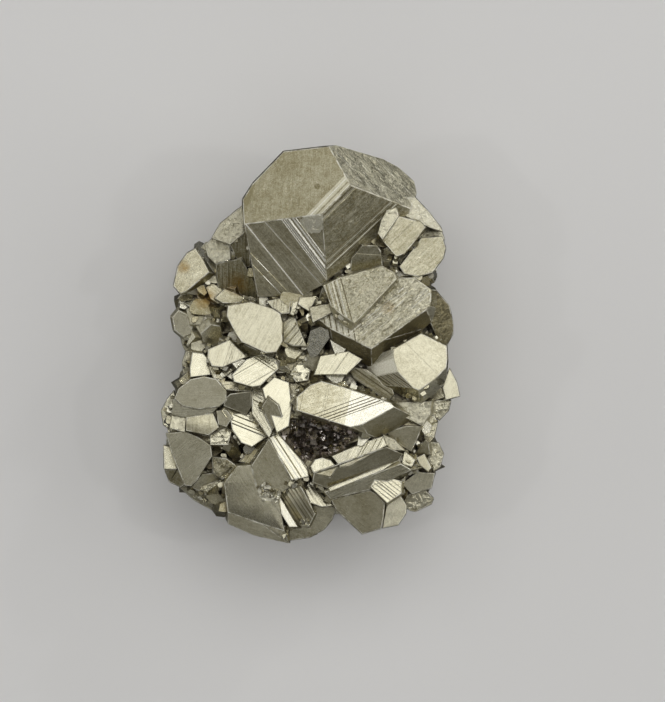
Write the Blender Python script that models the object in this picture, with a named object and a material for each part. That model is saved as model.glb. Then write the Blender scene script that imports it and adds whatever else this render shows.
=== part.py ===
"""Pyrite specimen: a cluster of intergrown pyrite crystals on a massive pyrite base.

The cluster lies on its flat, cut back. X runs along its width, Y along its height and Z
towards whoever looks at the crystals. Everything is modelled in millimetres and brought
to metres at the end, centred on the middle of the box's underside.
"""

import math
import random

import bmesh
import bpy
from mathutils import Matrix, Vector

NAME = "pyrite_cluster"
MM = 0.001

BASE_TOP = 25.0  # the massive base reaches this high between the crystals
BACK_TOP = 14.0  # below this the base narrows towards its back
LOBE_SHARE = 0.96  # the lobes keep this far inside their outline, where the rim crystals stand out
BACK_LEAN = 36.0  # lean of the back's side, in degrees from plumb
FOOT = 13.0  # the crystals' roots end inside the base
BELOW_CUT = -4.0  # the base goes through the cut, which leaves one flat face
STEEP = 82.0  # usual slope of a side face, in degrees from level
RIM_STEEP = 84.0
SKIRT = 5.0  # how far a side face goes out before it turns plumb
RIM_SKIRT = 0.15
DEEPEST_GIRDLE = 20.0  # a side face turns at the latest this far below its edge
UNDERCUT = 22.0  # lean of the underside of a crystal at the edge, in degrees from plumb
ROOM = 120.0  # half the side of the block that a crystal is cut from
SAME_POINT = 0.001  # corners closer than this are one


def facing(tilt, azimuth):
    """Unit normal of a face tilted from level, facing an azimuth counted from +X."""
    lean, turn = math.radians(tilt), math.radians(azimuth)
    return Vector((math.sin(lean) * math.cos(turn), math.sin(lean) * math.sin(turn), math.cos(lean)))


def each(value, outline):
    """One value an edge of the outline."""
    return [value] * len(outline) if isinstance(value, (int, float)) else value


def middle(outline):
    """Mean point of an outline."""
    return Vector((sum(x for x, _ in outline), sum(y for _, y in outline))) / len(outline)


def block(outline, top, tilt=0.0, faces=90.0, walls=STEEP, cuts=(), reach=SKIRT, lean=0.0, foot=FOOT):
    """Faces of one crystal, each as a point on it and its outward normal.

    outline is the edge of its main face, counter-clockwise; top is that face's height at
    the outline's middle. walls is the slope of the side faces and reach how far they go
    out before they turn down, each one number or one an edge. lean is how far the
    crystal's lower half leans back in. cuts are further faces, as (point, tilt, azimuth).
    """
    centre = middle(outline)
    crown = Vector((centre.x, centre.y, top))
    normal = facing(tilt, faces)
    planes = [(crown, normal), (Vector((centre.x, centre.y, foot)), Vector((0, 0, -1)))]

    def on_crown(x, y):
        drop = normal.x * (x - crown.x) + normal.y * (y - crown.y)
        return Vector((x, y, top - drop / normal.z))

    edges = zip(outline, outline[1:] + outline[:1])
    for (start, end), slope, out_to in zip(edges, each(walls, outline), each(reach, outline), strict=True):
        low, high = on_crown(*start), on_crown(*end)
        out = Vector((high.y - low.y, low.x - high.x, 0)).normalized()
        steepness = math.radians(slope)
        fall = out * math.cos(steepness) - Vector((0, 0, math.sin(steepness)))
        side = (high - low).cross(fall).normalized()
        planes.append((low, side if side.dot(out) > 0 else -side))
        depth = min(out_to / math.cos(steepness), DEEPEST_GIRDLE / math.sin(steepness))
        girdle = (low + high) / 2 + fall * depth
        planes.append((girdle, facing(90 + lean, math.degrees(math.atan2(out.y, out.x)))))
    planes += [(Vector(point), facing(cut_tilt, azimuth)) for point, cut_tilt, azimuth in cuts]
    return planes


def rim_block(outline, top, tilt=0.0, faces=90.0, walls=RIM_STEEP, cuts=(), reach=RIM_SKIRT):
    """A crystal at the cluster's edge, whose lower half leans back in."""
    return block(outline, top, tilt, faces, walls, cuts, reach, UNDERCUT)


def pyritohedron(centre, radius, turn):
    """Faces of a pyritohedron: twelve pentagons at the permutations of (0, 1, 2)."""
    planes = []
    for a in (-1, 1):
        for b in (-2, 2):
            for way in ((0, a, b), (b, 0, a), (a, b, 0)):
                out = (turn @ Vector(way)).normalized()
                planes.append((centre + out * radius, out))
    return planes


def random_turn(chance):
    """A turn with no preferred direction."""
    spin, tip = chance.uniform(0, 2 * math.pi), chance.uniform(0, math.pi / 2)
    return Matrix.Rotation(spin, 3, "Z") @ Matrix.Rotation(tip, 3, "X")


def carve(planes):
    """Mesh of the solid that the faces close in, cut from a block."""
    bm = bmesh.new()
    bmesh.ops.create_cube(bm, size=2 * ROOM)
    for point, normal in planes:
        whole = bm.verts[:] + bm.edges[:] + bm.faces[:]
        bmesh.ops.bisect_plane(bm, geom=whole, dist=1e-5, plane_co=point, plane_no=normal, clear_outer=True)
        bmesh.ops.remove_doubles(bm, verts=bm.verts[:], dist=SAME_POINT)
        bmesh.ops.holes_fill(bm, edges=[edge for edge in bm.edges if edge.is_boundary])
    bmesh.ops.recalc_face_normals(bm, faces=bm.faces[:])
    return bm


def summit():
    """The largest crystal, a pyritohedron at the top of the cluster."""
    crown = [(-16.4, 30.2), (3, 32.6), (10, 39.8), (4.7, 49.5), (-6.5, 48.3), (-14.3, 40.2), (-16.7, 36.3)]
    walls = [24.5, 32.5, 48.5, 84, 83, 84, 86]
    reach = [30, 30, 30, 0.4, 0.4, 0.4, 0.4]
    cuts = [
        ((-16.4, 30.2, 40), 88, 191),
        ((-8, 12.3, 34), 86, 270),
        ((0, 13.4, 34), 86, 298),
        ((10.3, 20.8, 34), 86, 308),
        ((25, 33, 30), 86, 342),
        ((26.3, 40, 30), 104, 5),
        ((22.3, 44.5, 30), 106, 52),
        ((17.5, 47.2, 33), 106, 70),
        ((10, 48.9, 38), 100, 82),
    ]
    return [rim_block(crown, 43.0, 12, 130, walls, cuts, reach)]


def right_shoulder():
    """Step-faced crystals below the largest one's right side."""
    return [
        block(
            [(10, 18.6), (13, 17.8), (18, 20), (17.6, 23.6), (16.6, 25), (13, 25), (10.3, 21.8)],
            top=38, tilt=22, faces=270,
        ),
        block(
            [
                (18, 26.3), (21.5, 22.3), (23.5, 23), (26, 26), (28.7, 29.6), (27.5, 31), (22, 32.3),
                (19.8, 30.2),
            ],
            top=38, tilt=10, faces=60, walls=84,
        ),
        rim_block(
            [
                (22.3, 19.8), (23.5, 18), (27, 17.3), (30.5, 18.3), (33.3, 22), (33.9, 24.5),
                (33, 27.4), (27.8, 27),
            ],
            top=35, tilt=14, faces=40, walls=84,
        ),
        rim_block(
            [
                (21.3, 35.2), (24, 32.3), (30, 29.6), (33, 28.6), (32.4, 30.6), (29.7, 33.5),
                (26.8, 37.3), (24.5, 37),
            ],
            top=34.5, tilt=18, faces=45, walls=84,
        ),
        rim_block(
            [(21.5, 22.3), (23.5, 18.5), (33, 22), (33.6, 27), (32.9, 28.8), (28.7, 29.8)],
            top=32.6, tilt=15, faces=45,
        ),
        block(
            [(16.9, 28), (18, 26.5), (22, 32.3), (21.3, 35.2), (19.8, 34.8), (17.8, 31.5)],
            top=38.8, tilt=20, faces=60,
        ),
        block(
            [(18, 19.8), (21.4, 18.8), (21.8, 21.8), (19.3, 24.6), (18, 24)],
            top=36, tilt=25, faces=250,
        ),
    ]


def left_shoulder():
    """Column and plates on the left, beside the largest crystal."""
    return [
        rim_block(
            [(-24.6, 27), (-20, 25.4), (-16.3, 28.4), (-16.6, 35), (-17.9, 34.4), (-22.6, 30.6)],
            top=34, tilt=14, faces=120,
        ),
        rim_block(
            [(-25.6, 22.4), (-23.5, 20.4), (-20, 21.8), (-20.2, 25.4), (-24.5, 27), (-26.5, 25.3)],
            top=32, tilt=12, faces=150,
        ),
        block(
            [
                (-23.6, 20.6), (-23.2, 14.3), (-19, 12.9), (-13.6, 11.2), (-12.6, 13), (-15, 18),
                (-17.4, 21.8),
            ],
            top=30, tilt=30, faces=265,
        ),
        block(
            [(-20.2, 25.5), (-17.2, 19.5), (-15, 20), (-15.6, 28.5), (-16.5, 28.6)],
            top=33, tilt=25, faces=250,
        ),
    ]


def left_rim():
    """Small crystals down the left edge."""
    return [
        rim_block(
            [
                (-34.3, 15), (-32.6, 13.1), (-31, 13.7), (-25.4, 18.5), (-27, 21.8), (-28.9, 24.5),
                (-31, 23.3), (-33.3, 20),
            ],
            top=31, tilt=12, faces=110, walls=[84, 80, 62, 66, 74, 84, 84, 84],
            reach=[0.2, 0.3, 3, 2, 1, 0.2, 0.2, 0.2],
        ),
        rim_block(
            [(-31.5, 13.4), (-26.5, 12.4), (-23.6, 13.8), (-23.8, 17.5), (-25.6, 18.3)],
            top=28.5, tilt=20, faces=300,
        ),
        rim_block(
            [(-28.6, 24), (-27, 21.5), (-25.6, 18.8), (-23.8, 18), (-23.8, 20.5), (-26, 23.5)],
            top=29.5, tilt=16, faces=20,
        ),
        block(
            [(-31.6, 10.7), (-30, 9.6), (-27, 9.8), (-26.6, 12.1), (-28.5, 12)],
            top=27, tilt=22, faces=90, reach=1.0,
        ),
        block(
            [(-24, 12), (-22, 10.8), (-18.3, 10.6), (-16.3, 12), (-19, 13.4), (-21.5, 14.4)],
            top=30, tilt=20, faces=60,
        ),
        rim_block(
            [(-33.5, 11.9), (-33, 9.8), (-31, 9), (-27, 9), (-26.5, 12.3), (-32.4, 13.2)],
            top=25.5, tilt=20, faces=260,
        ),
        rim_block(
            [(-34.2, 4), (-32, 2.2), (-30.2, 3), (-29.6, 5.5), (-31, 8), (-33.2, 9), (-34.8, 7.2)],
            top=26, tilt=8, faces=200, walls=[70, 70, 50, 50, 60, 60, 60],
            reach=[0.6, 0.6, 2, 2, 1.5, 0.8, 0.6],
        ),
        block(
            [(-27.6, 3.1), (-26.8, 1), (-24, -0.2), (-22, 2.3), (-22.6, 5), (-25, 5.4)],
            top=28.5, tilt=24, faces=270, walls=[80, 80, 80, 80, 45, 45],
        ),
        rim_block(
            [(-33.4, 2.2), (-32.2, 0), (-31.4, -3.2), (-28.5, -2), (-28.5, 2.8), (-31, 3)],
            top=24, tilt=18, faces=220,
        ),
        rim_block(
            [(-32.3, -4), (-31.9, -7.8), (-30, -8), (-29.8, -1), (-31.4, -1.5)],
            top=26, tilt=18, faces=190,
        ),
    ]


def bright_left():
    """The pale plates left of the middle."""
    return [
        block(
            [
                (-18.5, 3), (-17, 1), (-11, -1.7), (-8.5, -1.5), (-7, 1), (-7, 6), (-7.5, 8),
                (-9.5, 9.3), (-15, 11), (-20.5, 10), (-20.8, 7.5),
            ],
            top=37.5, tilt=13, faces=95, walls=86,
        ),
        block(
            [(-25.6, -3), (-24.5, -5), (-22, -5.3), (-16, -2.7), (-20.2, 1.5), (-25.5, -0.9)],
            top=35, tilt=15, faces=90, walls=86,
        ),
        block(
            [(-25.4, -5.2), (-24.3, -8), (-22.3, -8.4), (-15.8, -3.4), (-16.5, -2.5)],
            top=32.5, tilt=14, faces=100, reach=0.3,
        ),
        block(
            [(-30.2, -5.5), (-30, -7.8), (-25, -7.2), (-25.3, -3.5), (-27, -1.9), (-29.6, -1.6)],
            top=31, tilt=20, faces=90, reach=1.0,
        ),
        block(
            [
                (-19.5, -7.2), (-19, -8.9), (-14.5, -10.2), (-12.5, -9.9), (-8, -5.7), (-8.5, -3.4),
                (-12, -1.9), (-16, -3.4),
            ],
            top=35.5, tilt=18, faces=90, walls=86,
        ),
        block([(-20.2, 1.5), (-16.2, -3), (-11.5, -1.9), (-17, 0.9)], top=34, tilt=30, faces=230, reach=0.3),
        block(
            [(-23, -8.6), (-21.2, -11), (-14.8, -11.5), (-14.6, -10.4), (-19.2, -9)],
            top=33, tilt=16, faces=80, reach=0.3,
        ),
        block(
            [(-10.8, 11.2), (-9.4, 9.4), (-7.2, 8), (-5.2, 8.2), (-4.9, 11.4), (-6, 12.2)],
            top=36.3, tilt=14, faces=100, reach=0.3,
        ),
        block(
            [(-12, -10.6), (-8.3, -21.6), (-5.4, -20), (-4.6, -15), (-5.4, -9.2), (-9, -7.8)],
            top=35.5, tilt=15, faces=80,
        ),
        block(
            [(-12.1, -15.2), (-9.6, -21.2), (-7, -17.6), (-8, -14.8), (-10.5, -12.8)],
            top=36.6, tilt=8, faces=250,
        ),
        block(
            [
                (-14.5, -17), (-10.3, -22.8), (-9.6, -21.4), (-11.8, -11.6), (-12.6, -10.4),
                (-14.6, -11.2),
            ],
            top=34.5, tilt=17, faces=110,
        ),
        block([(-8, -5.8), (-5.1, -7), (-5.2, -5.8), (-8.3, -3.2)], top=34.5, tilt=20, faces=300),
    ]


def lower_left():
    """Flat grey plates and small steps of the lower left."""
    return [
        rim_block(
            [
                (-34, -13.2), (-32, -15), (-28, -15.8), (-22.8, -15.2), (-21, -13.6), (-21, -11.3),
                (-23.5, -8.3), (-26.5, -7.7), (-30, -8.4), (-33, -10.8),
            ],
            top=33.5, tilt=5, faces=200, walls=84,
        ),
        rim_block(
            [(-34.4, -13.5), (-34.6, -17.3), (-31, -17.9), (-24.4, -16.8), (-22.8, -15), (-24, -12)],
            top=31.8, tilt=8, faces=250,
        ),
        block([(-31, -21.3), (-28, -23.1), (-25, -25), (-25.3, -22.4)], top=29.5, tilt=35, faces=250, reach=0.3),
        block(
            [(-18, -29), (-14.9, -29.8), (-10.8, -23.3), (-14.5, -25.3)],
            top=31.5, tilt=35, faces=150, reach=0.3,
        ),
        block(
            [(-24.7, -27.8), (-24.5, -31.8), (-22, -33.5), (-18.6, -30), (-21, -28.3)],
            top=30, tilt=20, faces=200, reach=0.3,
        ),
        rim_block(
            [
                (-37.6, -16.4), (-37, -20), (-35.2, -21), (-34.2, -17), (-34, -13), (-34.4, -11.4),
                (-36, -13.4),
            ],
            top=27, tilt=20, faces=190, walls=84,
        ),
        block(
            [(-35.3, -20.6), (-31.5, -21.6), (-31.2, -17.6), (-34.8, -17.4)],
            top=31, tilt=14, faces=100, reach=0.6,
        ),
        block(
            [(-31, -21.2), (-25.5, -22.3), (-22.9, -20.4), (-24.4, -16.8), (-31, -17.9)],
            top=32.5, tilt=10, faces=90, walls=84,
        ),
        block(
            [(-23.5, -16.3), (-23, -19.7), (-21, -20.2), (-19.5, -18), (-21, -16)],
            top=33, tilt=5, faces=200,
        ),
        block(
            [(-21.6, -15), (-16, -17.2), (-14.7, -15), (-14.8, -11.4), (-20, -12), (-21.6, -13.5)],
            top=33.5, tilt=15, faces=280,
        ),
        block(
            [
                (-20.2, -17.2), (-19.5, -21), (-17.2, -24.2), (-14.6, -25.2), (-10.6, -22.6),
                (-14, -17.6), (-16.5, -16.8),
            ],
            top=33, tilt=17, faces=70,
        ),
        block(
            [(-25, -24.8), (-20.6, -24.8), (-19.6, -21), (-21.4, -20.4), (-25.2, -22.4)],
            top=31.5, tilt=20, faces=90,
        ),
        rim_block(
            [
                (-36.2, -22), (-34.8, -27), (-31.6, -35), (-30, -35.2), (-28.4, -33.6), (-24.7, -27.6),
                (-25, -25), (-28, -23), (-31.5, -21.4),
            ],
            top=30, tilt=9, faces=225, walls=84,
        ),
        rim_block([(-36.8, -31), (-33.6, -31), (-35, -25.6), (-37.1, -25)], top=26, tilt=20, faces=100),
        rim_block(
            [(-36.7, -31.4), (-35.6, -34.3), (-32.8, -35.6), (-31.6, -34.8), (-33.6, -30.6)],
            top=25, tilt=30, faces=240,
        ),
        block(
            [(-29.8, -35.6), (-28, -36.6), (-22.8, -33.6), (-24.5, -32), (-27.2, -32.3)],
            top=27, tilt=28, faces=290,
        ),
        rim_block(
            [
                (-33, -35.8), (-29.5, -39), (-24.5, -41.7), (-22, -42.3), (-21.4, -40), (-24, -37),
                (-30, -35.6),
            ],
            top=22, tilt=15, faces=240, walls=84,
        ),
    ]


def bottom_crystal():
    """The large crystal at the bottom, with strips and steps down its right side."""
    return [
        block(
            [(-14.7, -30), (-13.5, -35), (-9, -37.5), (-3.9, -34.5), (-10.3, -23.2)],
            top=35.9, tilt=6, faces=250, walls=84,
        ),
        rim_block(
            [
                (-21.5, -34.2), (-20.6, -41.6), (-12, -44.6), (-6.5, -46.2), (-9, -33), (-14, -29.8),
                (-18.2, -30),
            ],
            top=35, tilt=7, faces=230, walls=[80, 42, 38, 76, 84, 80, 80],
            cuts=[((-21.2, -43.1, 20), 92, 215), ((-17, -45.8, 20), 92, 246), ((-10, -48, 20), 92, 258)],
            reach=[1, 5, 5, 1, 1, 0.5, 0.5],
        ),
        block([(-9.8, -37.8), (-5.2, -45.2), (-3.2, -45.2), (-8, -37.2)], top=34.8, tilt=20, faces=60),
        block(
            [(-8.3, -35.4), (-3.2, -45), (-0.3, -45.2), (1.2, -42), (-2.3, -35)],
            top=34.3, tilt=24, faces=215,
        ),
        block(
            [(-10.2, -22.9), (-4.6, -33.4), (-0.4, -32.6), (-0.8, -30.2), (-8.1, -21.9)],
            top=35.8, tilt=18, faces=60,
        ),
        block(
            [(-2.2, -35.1), (0, -39.2), (3, -40.3), (6, -40), (0.6, -35.3)],
            top=33, tilt=22, faces=60,
        ),
        rim_block(
            [
                (-5.2, -48.8), (0, -48), (3.5, -46), (5.4, -43.6), (6.6, -40.6), (0, -39.4),
                (-5.2, -45.4),
            ],
            top=31, tilt=9, faces=290, walls=[84, 84, 84, 84, 80, 80, 80],
        ),
        block(
            [(-6, -34.6), (-5, -35.2), (-3.4, -35), (-3.1, -34.4), (-5.4, -34.1)],
            top=36, tilt=16, faces=90,
        ),
    ]


def long_crystals():
    """The roof-like long crystals right of the bottom one, and the steps they end in."""
    return [
        block(
            [(0.6, -34), (5, -35.8), (22, -28.8), (23.1, -27), (19, -25.2), (1, -31.6)],
            top=37, tilt=26, faces=290,
        ),
        block(
            [(5, -27), (7.5, -30.1), (10, -29.8), (19.1, -24.8), (18, -22.2), (13, -24.3)],
            top=37.5, tilt=20, faces=110,
        ),
        block(
            [(18.2, -22.2), (19.1, -24.8), (20.5, -26), (23.6, -26.1), (21, -23.4)],
            top=37, tilt=10, faces=45,
        ),
        block(
            [(4.6, -35.4), (4.9, -36.3), (22.9, -29.1), (22.5, -28.3)],
            top=36.7, tilt=20, faces=100, reach=1.0,
        ),
        block(
            [(3.6, -36.6), (5, -38.2), (14.6, -36), (25.2, -31), (22.6, -29.4)],
            top=36, tilt=10, faces=270, walls=[80, 80, 80, 60, 40],
        ),
        block(
            [(15, -35.2), (19.2, -39.2), (22.8, -36.8), (22.8, -33.8), (17, -32.2)],
            top=36.5, tilt=16, faces=80,
        ),
        rim_block(
            [(5, -38), (6.6, -41.2), (13, -47.1), (18, -45.6), (18.2, -43.5), (19.3, -39), (15, -36.1)],
            top=34, tilt=7, faces=260, walls=84,
        ),
        rim_block(
            [(18.2, -45.6), (22, -44.9), (24, -42), (24.1, -40), (22.7, -37.8), (19.4, -38.5)],
            top=32, tilt=12, faces=350, walls=84,
        ),
        block([(22.9, -29.5), (25.3, -30.2), (26.2, -28.5), (23.5, -26.2)], top=36, tilt=14, faces=60),
        block(
            [(0.1, -30), (0.8, -31.7), (5, -32.6), (6.6, -30.3), (5, -28.5), (3, -27.9), (1.2, -28.4)],
            top=37.6, tilt=16, faces=100,
        ),
    ]


def right_rim():
    """Small plates and rough crystals down the lower right edge."""
    return [
        block(
            [(26.3, -26.8), (26.8, -27.6), (30, -27.1), (29.6, -24.2), (28.8, -23.5)],
            top=32, tilt=25, faces=250, reach=1.5,
        ),
        block(
            [(26.6, -28), (27.3, -29.6), (29.5, -31.5), (30.3, -30.5), (28.6, -27.1)],
            top=32.5, tilt=12, faces=60, reach=1.5,
        ),
        rim_block(
            [(29.6, -29), (31, -31.5), (32.6, -30.4), (33.5, -27.2), (32.2, -24.4), (30, -24.2)],
            top=29, tilt=15, faces=20,
        ),
        rim_block(
            [(23, -34.6), (25.5, -37.2), (30.4, -35.6), (31.2, -32), (27, -31.6)],
            top=31, tilt=8, faces=300,
        ),
        rim_block(
            [
                (23.4, -39.6), (25, -41.4), (26.5, -41.7), (30.5, -39.8), (31, -38.4), (29, -36.4),
                (24.5, -37.4),
            ],
            top=27, tilt=15, faces=300,
        ),
        rim_block(
            [(28.4, -20), (28.6, -22.6), (31, -23), (32, -19), (31, -17.6), (29.6, -17.4)],
            top=31, tilt=16, faces=30,
        ),
        rim_block(
            [(30.6, -17.5), (32.5, -18.6), (34.7, -16.2), (35.3, -13.8), (32, -13.6), (30.5, -14.2)],
            top=30, tilt=14, faces=330,
        ),
        rim_block(
            [(33.2, -10.5), (34, -13.5), (37.5, -12.6), (36.8, -9.2), (35, -5.7)],
            top=30, tilt=14, faces=60, walls=84,
        ),
    ]


def white_crystal():
    """The brightest crystal, right of the middle, with its dark underside."""
    return [
        block(
            [
                (-3.3, -16), (10, -20.2), (13, -19.5), (21, -15.2), (20, -14.2), (8, -10.2),
                (2.8, -8.8), (0, -9.8), (-3.3, -12.7),
            ],
            top=41, tilt=15, faces=85, walls=[84, 50, 50, 76, 84, 84, 84, 84, 84],
            cuts=[((28, -20, 34), 70, 320)],
        ),
        block(
            [(21, -15.2), (22, -17), (28, -20), (30, -17), (30.2, -13.9), (21.4, -14.2)],
            top=36, tilt=8, faces=20, reach=1.5,
        ),
        block(
            [(19, -21.5), (21, -23.7), (25.4, -26.5), (26.4, -24), (28.2, -20.2), (24, -20)],
            top=35.5, tilt=15, faces=200, reach=1.5,
        ),
        block([(10.5, -24), (15.5, -22.8), (15.3, -22.2), (11.5, -23.1)], top=36.5, tilt=20, faces=90),
        block([(-4.9, -17.9), (-3, -18.1), (-3.4, -14.6), (-4.2, -13.6)], top=35, tilt=24, faces=60),
    ]


def middle_right():
    """The pale plate on the right edge and the striped faces beside it."""
    return [
        rim_block(
            [
                (20.7, -3), (21.8, -6.5), (25.5, -10.4), (27, -11.1), (31, -8.4), (33.9, -5.4),
                (34.2, -3), (34, 0), (27.7, 3.1), (20.7, -0.8),
            ],
            top=38.5, tilt=14, faces=85, walls=[38, 40, 60, 56, 56, 80, 84, 80, 80, 42],
            reach=[7, 6, 3, 3, 2.5, 0.4, 0.4, 1, 1, 7],
        ),
        block(
            [(9.4, -5.2), (10.8, -8), (19.4, -13.9), (21, -12), (20.2, -10.2), (14, -5.9)],
            top=34.5, tilt=14, faces=200,
        ),
        block(
            [(1, -7.2), (9, -7.2), (13, -3.3), (9.5, -1.3), (2.5, -2.5)],
            top=35.5, tilt=14, faces=90, walls=84,
        ),
    ]


def upper_right():
    """Two stepped crystals, one on the other, right of the middle."""
    return [
        block(
            [
                (5.3, 9.8), (8, 7.6), (11, 5.6), (15.5, 10.2), (21.5, 16.7), (21, 18.2), (18, 19.9),
                (7.5, 17), (3.3, 15),
            ],
            top=41, tilt=10, faces=95, walls=[68, 66, 78, 84, 84, 84, 84, 84, 84],
        ),
        rim_block(
            [
                (5, 4.3), (15.3, -0.8), (18.5, 1.5), (28, 8), (29.9, 10), (30.2, 14), (26, 17),
                (22, 17), (8, 12), (2, 6.7),
            ],
            top=37.5, tilt=9, faces=95, walls=[54, 52, 54, 54, 54, 70, 70, 80, 80, 60],
            reach=[5, 4, 5, 3, 1.5, 1, 1, 1, 1, 2],
        ),
        rim_block(
            [
                (33, -0.4), (34.3, 0.2), (35.8, 3), (35.8, 6), (34.8, 10.2), (31.2, 14), (30.2, 12),
                (30, 6),
            ],
            top=32, tilt=30, faces=330, walls=84,
        ),
        block([(1.9, 11), (5.3, 10.2), (5.3, 13.8), (3.2, 14.8)], top=37, tilt=25, faces=230),
        block([(-0.2, 9.6), (0.7, 5.9), (5.4, 8.3), (5.2, 10.6)], top=38, tilt=12, faces=110),
    ]


def middle_chips():
    """Small crystals wedged between the large ones at the middle."""
    return [
        block(
            [(-6.6, 1), (-4.4, 0), (-1, 0), (-3.8, 7), (-5, 7.4), (-7, 5.8)],
            top=35.5, tilt=20, faces=130,
        ),
        block([(-5, 8), (-4.2, 7.6), (-2.8, 11.3), (-4.2, 11.6)], top=36.5, tilt=20, faces=90),
        block([(-3, 10.4), (-0.2, 8.6), (1.7, 12.4), (-2.6, 12.1)], top=36.8, tilt=18, faces=60),
        block(
            [(-5, -7), (-3.6, -9), (-0.6, -8.6), (0, -6), (-2, -4.4), (-4, -4.8)],
            top=34, tilt=18, faces=90,
        ),
        block([(-5, -3), (-1.5, -3.4), (-0.6, -1.2), (-4, -0.8)], top=33.5, tilt=12, faces=90),
        block([(-7.8, -3), (-5.2, -5), (-5, -2.4), (-6.6, -1)], top=33, tilt=16, faces=200),
    ]


def base():
    """Massive pyrite that the crystals grow from: three lobes on a narrowing back."""
    upper = [
        (-30.5, -10), (-20, -25), (20, -25), (31.5, -20), (33.5, -2), (33.5, 5), (27, 34), (23, 41), (12, 46),
        (-5, 46.5), (-13, 38), (-24, 25.5), (-31.5, 18), (-32, 8),
    ]
    lower_left_lobe = [
        (-35.5, -15), (-35.5, -30), (-30, -36.5), (-22, -40.5), (-8, -46), (2, -45.5), (5, -41.5), (5, -10),
        (-25, -9.5), (-33, -11.5),
    ]
    lower_right_lobe = [
        (4, -38), (6.8, -41.2), (12, -44.6), (20, -43), (28.5, -38.8), (31.5, -28), (31, -20), (30, -12), (5, -12),
    ]
    back = [
        (-31, -30), (-20, -37), (0, -42), (18, -40), (27, -33), (30, -15), (31, 5), (26, 31), (12, 43), (-5, 44),
        (-22, 25), (-30, 12), (-31, -5),
    ]
    solids = [block(back, BACK_TOP, walls=80, reach=0.2, lean=BACK_LEAN, foot=BELOW_CUT)]
    for lobe in (upper, lower_left_lobe, lower_right_lobe):
        inner = [(x * LOBE_SHARE, y * LOBE_SHARE) for x, y in lobe]
        solids.append(block(inner, BASE_TOP, walls=88, reach=0.2, lean=4, foot=BACK_TOP - 3))
    return solids


# Where the crystals round the side stand, from the largest crystal's left, counter-clockwise.
RIM = [
    (-10.5, 42), (-21, 29.5), (-29, 21), (-31.5, 12), (-32.5, 5), (-29.8, -5), (-33, -12.5), (-35, -19), (-35, -27),
    (-31, -35.5), (-25, -39.5), (-16, -44), (-5, -46.5), (3, -43), (8, -40.5), (14, -44.5), (21, -42.5),
    (28, -38.5), (29.3, -31.5), (30, -27), (28.5, -21), (33, -15), (34, -9), (32.5, -3), (33.7, 5), (28.8, 15),
    (30.5, 23.5), (28.5, 31), (24, 40), (15, 45.5), (4, 47),
]
RIM_ROWS = ((21.0, 0.5, 0.0), (15.5, 0.0, 0.0), (9.5, 0.5, 3.0), (4.0, 0.0, 7.0))  # height, stagger, set-back
RIM_RADIUS = (3.2, 5.4)

GAP_CRYSTALS = 50
GAP_FIELD = (33.0, 44.0)  # half the width and height of the oval floor that small crystals fill
GAP_RADIUS = (1.6, 3.2)
CAVITY = Vector((1, -22, 26))  # the middle of the open cavity, which stays free of them
CAVITY_RADIUS = 9.0


def rim_crystals():
    """Partly grown crystals round the side, in four staggered rows below the ones on top."""
    chance = random.Random(7)
    solids = []
    for height, stagger, set_back in RIM_ROWS:
        for start, end in zip(RIM, RIM[1:] + RIM[:1]):
            spot = Vector(start).lerp(Vector(end), stagger + chance.uniform(-0.12, 0.12))
            radius = chance.uniform(*RIM_RADIUS)
            spot -= spot.normalized() * (radius + set_back)
            centre = Vector((spot.x, spot.y, height + chance.uniform(-1.5, 1.5)))
            solids.append(pyritohedron(centre, radius, random_turn(chance)))
    return solids


def gap_crystals():
    """Small crystals that fill the floor between the large ones."""
    chance = random.Random(21)
    solids = []
    for _ in range(GAP_CRYSTALS):
        centre = Vector((chance.uniform(-29, 29), chance.uniform(-38, 38), chance.uniform(25, 28)))
        off_field = (centre.x / GAP_FIELD[0]) ** 2 + (centre.y / GAP_FIELD[1]) ** 2 > 1
        if off_field or (centre - CAVITY).length < CAVITY_RADIUS:
            continue
        solids.append(pyritohedron(centre, chance.uniform(*GAP_RADIUS), random_turn(chance)))
    return solids


def crystals():
    """Every crystal of the cluster."""
    groups = (
        summit, right_shoulder, left_shoulder, left_rim, bright_left, lower_left, bottom_crystal, long_crystals,
        right_rim, white_crystal, middle_right, upper_right, middle_chips, rim_crystals, gap_crystals,
    )
    return [solid for group in groups for solid in group()]


def pyrite():
    """Pale brass-yellow metal."""
    material = bpy.data.materials.new("pyrite")
    material.use_nodes = True
    shader = material.node_tree.nodes["Principled BSDF"]
    shader.inputs["Base Color"].default_value = (0.60, 0.57, 0.43, 1)
    shader.inputs["Metallic"].default_value = 1.0
    shader.inputs["Roughness"].default_value = 0.28
    return material


def guide(name, bm):
    """An object that only shapes another."""
    mesh = bpy.data.meshes.new(name)
    bm.to_mesh(mesh)
    bm.free()
    item = bpy.data.objects.new(name, mesh)
    item.display_type = "WIRE"
    item.hide_render = True
    bpy.context.scene.collection.objects.link(item)
    return item


def gathered(solids):
    """All the solids' meshes in one bmesh, still overlapping."""
    together = bmesh.new()
    for planes in solids:
        bm = carve(planes)
        piece = bpy.data.meshes.new("crystal")
        bm.to_mesh(piece)
        bm.free()
        together.from_mesh(piece)
        bpy.data.meshes.remove(piece)
    return together


def add_boolean(item, operation, other):
    """Boolean by another object."""
    boolean = item.modifiers.new(operation.lower(), "BOOLEAN")
    boolean.operation = operation
    boolean.solver = "EXACT"
    boolean.object = other
    boolean.use_self = operation == "UNION"


def floor_block():
    """What lies under the cut that the cluster rests on."""
    bm = bmesh.new()
    bmesh.ops.create_cube(bm, size=4 * ROOM, matrix=Matrix.Translation((0, 0, -2 * ROOM)))
    return bm


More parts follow.
